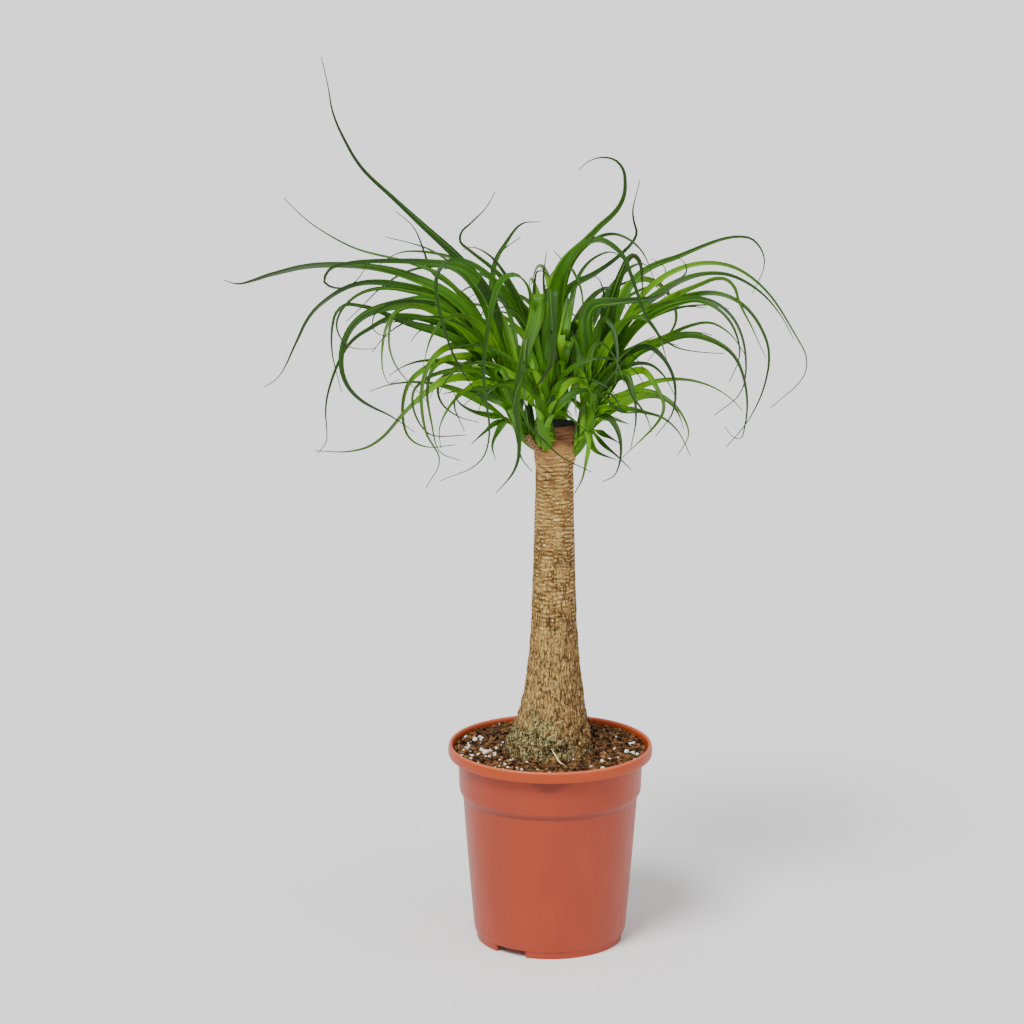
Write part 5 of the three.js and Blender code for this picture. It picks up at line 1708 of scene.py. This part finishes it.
def shoots() -> list[Shoot]:
    """The four shoots, in the order in which their leaves are laid out."""
    return [
        Shoot("head_front", [
            (-3, -10, 516, 5.5), (-4, -21, 526, 7), (-7, -28, 538, 9), (-8, -33, 560, 10), (-11, -37, 600, 9),
            (-12, -40, 634, 4)], (-7, -30, 543), 6, (225, 315), (130, 200), 11, 1011, extra=6,
            collar=((-11.5, 521), (-7, 517), (-2.5, 520))),
        Shoot("head_left", [
            (-8, 0, 514, 6), (-20, -3, 522, 7.5), (-30, -6, 534, 9), (-36, -8, 556, 10.5),
            (-45, -13, 592, 10.5), (-57, -18, 622, 4)], (-33, -7, 540), 7, (118, 218), (150, 240),
            1080, 1015),
        Shoot("head_right", [
            (15, -3, 506, 6), (26, -6, 516, 6.5), (33, -8, 529, 8), (38, -9, 550, 9.5),
            (46, -14, 588, 10.5), (58, -19, 620, 4)], (36, -8, 536), 7, (-34, 66), (150, 230), 1858, 1118,
            lime=0.8),
        Shoot("head_back", [
            (6, 10, 510, 6), (8, 24, 520, 8), (9, 32, 535, 9.5), (10, 36, 560, 10), (11, 41, 592, 9),
            (12, 45, 622, 4)], (9, 32, 540), 20, (40, 150), (190, 280), 259, 1014),
    ]


@dataclass
class DryStub:
    """The small pruned shoot at the trunk's upper left, and the straw leaf on the soil."""

    stations: tuple = ((-8, -10, 513, 2.5), (-18, -16, 523, 3.6), (-24, -20, 531, 3.8))
    steps: int = 12
    sides: int = 24
    straw: tuple = ((0.4, -44, 214), (4, -49, 209.5), (8.5, -56, 204), (15, -65, 202))
    straw_half: float = 0.75
    straw_steps: int = 48

    def build(self) -> None:
        """Makes the stub and the straw leaf."""
        finish = PlainFinish("dry_wood", srgb(158, 120, 84), srgb(72, 44, 32), 2.0).material()
        stations = np.array(self.stations, float)
        fine = spaced(stations[:, :3], self.steps)
        places = np.linspace(0, len(stations) - 1, len(fine))
        radii = np.interp(places, range(len(stations)), stations[:, 3])
        tangents = np.tile(unit(stations[-1, :3] - stations[0, :3]), (len(fine), 1))
        points, faces = tube(fine, tangents, np.tile(radii[:, None], self.sides))
        points += 0.35 * perlin(points, 2.4)[:, None] * (points - np.repeat(fine, self.sides, 0)) / 3
        skin = Surface()
        skin.add(points, faces)
        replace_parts(skin.piece("dry_shoot_stub", finish, Slot.DRY), "dry_stub")
        straw = PlainFinish("straw", srgb(244, 226, 166), srgb(206, 180, 116), 4.0).material()
        halves = self.straw_half * np.sin(np.linspace(0.3, math.pi, self.straw_steps + 1))
        leaf = Leaf(spaced(np.array(self.straw, float), self.straw_steps), np.maximum(halves, 0.15))
        skin = Surface()
        Blade(steps=24, thick=0.3).add(skin, leaf, Draws(77))
        skin.piece("straw_leaf", straw, Slot.DRY)


@dataclass
class Studio:
    """A pale floor, soft light and the camera."""

    look_down: float = 12.75
    lens: float = 110.3
    floor_reach: float = 60.0
    floor_colour: Colour = (0.93, 0.93, 0.93, 1)
    sky: float = 0.6
    lamps: tuple = (("key", 3.4, (36, 0, -34), 24), ("fill", 0.9, (58, 0, 46), 70))

    def build(self) -> None:
        """Sets the stage."""
        camera = bpy.data.objects.new("camera", bpy.data.cameras.new("camera"))
        camera.location = VIEWPOINT * MM
        camera.rotation_euler = (math.radians(90 - self.look_down), 0, 0)
        camera.data.lens = self.lens
        camera.data.sensor_width = 36
        camera.data.clip_end = 200
        bpy.context.scene.collection.objects.link(camera)
        bpy.context.scene.camera = camera
        reach = self.floor_reach
        mesh = bpy.data.meshes.new("floor")
        corners = [(-reach, -reach, 0), (reach, -reach, 0), (reach, reach, 0), (-reach, reach, 0)]
        mesh.from_pydata(corners, [], [(0, 1, 2, 3)])
        finish = Finish("floor", 0.9, 0.1)
        finish.feed(finish.shader, {"Base Color": self.floor_colour})
        mesh.materials.append(finish.material)
        floor = bpy.data.objects.new("floor", mesh)
        bpy.context.scene.collection.objects.link(floor)
        world = bpy.data.worlds.new("studio")
        world.use_nodes = True
        world.node_tree.nodes["Background"].inputs["Color"].default_value = (1, 1, 1, 1)
        world.node_tree.nodes["Background"].inputs["Strength"].default_value = self.sky
        bpy.context.scene.world = world
        for lamp in self.lamps:
            self.lamp(*lamp)

    def lamp(self, name: str, strength: float, turn: tuple[float, float, float], soft: float) -> None:
        """Adds a soft, far light.

        Args:
            name: Its name.
            strength: How bright it is.
            turn: How it is turned, in degrees.
            soft: How wide it looks, in degrees.
        """
        light = bpy.data.lights.new(name, "SUN")
        light.energy = strength
        light.angle = math.radians(soft)
        made = bpy.data.objects.new(name, light)
        made.rotation_euler = tuple(math.radians(angle) for angle in turn)
        bpy.context.scene.collection.objects.link(made)


def main() -> None:
    """Loads the frame and builds each piece around it."""
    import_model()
    Studio().build()
    trunk = Trunk()
    Pot().build(PlasticFinish().material())
    trunk.build(BarkFinish().material())
    Soil().build(trunk)
    DryStub().build()
    before: list[Leaf] = []
    green = LeafFinish().material()
    for shoot in shoots():
        shoot.lay_out(LeafRules(), before, trunk)
        shoot.build(green, trunk)


if __name__ == "__main__":
    logging.basicConfig(level=logging.INFO, format="%(message)s")
    main()
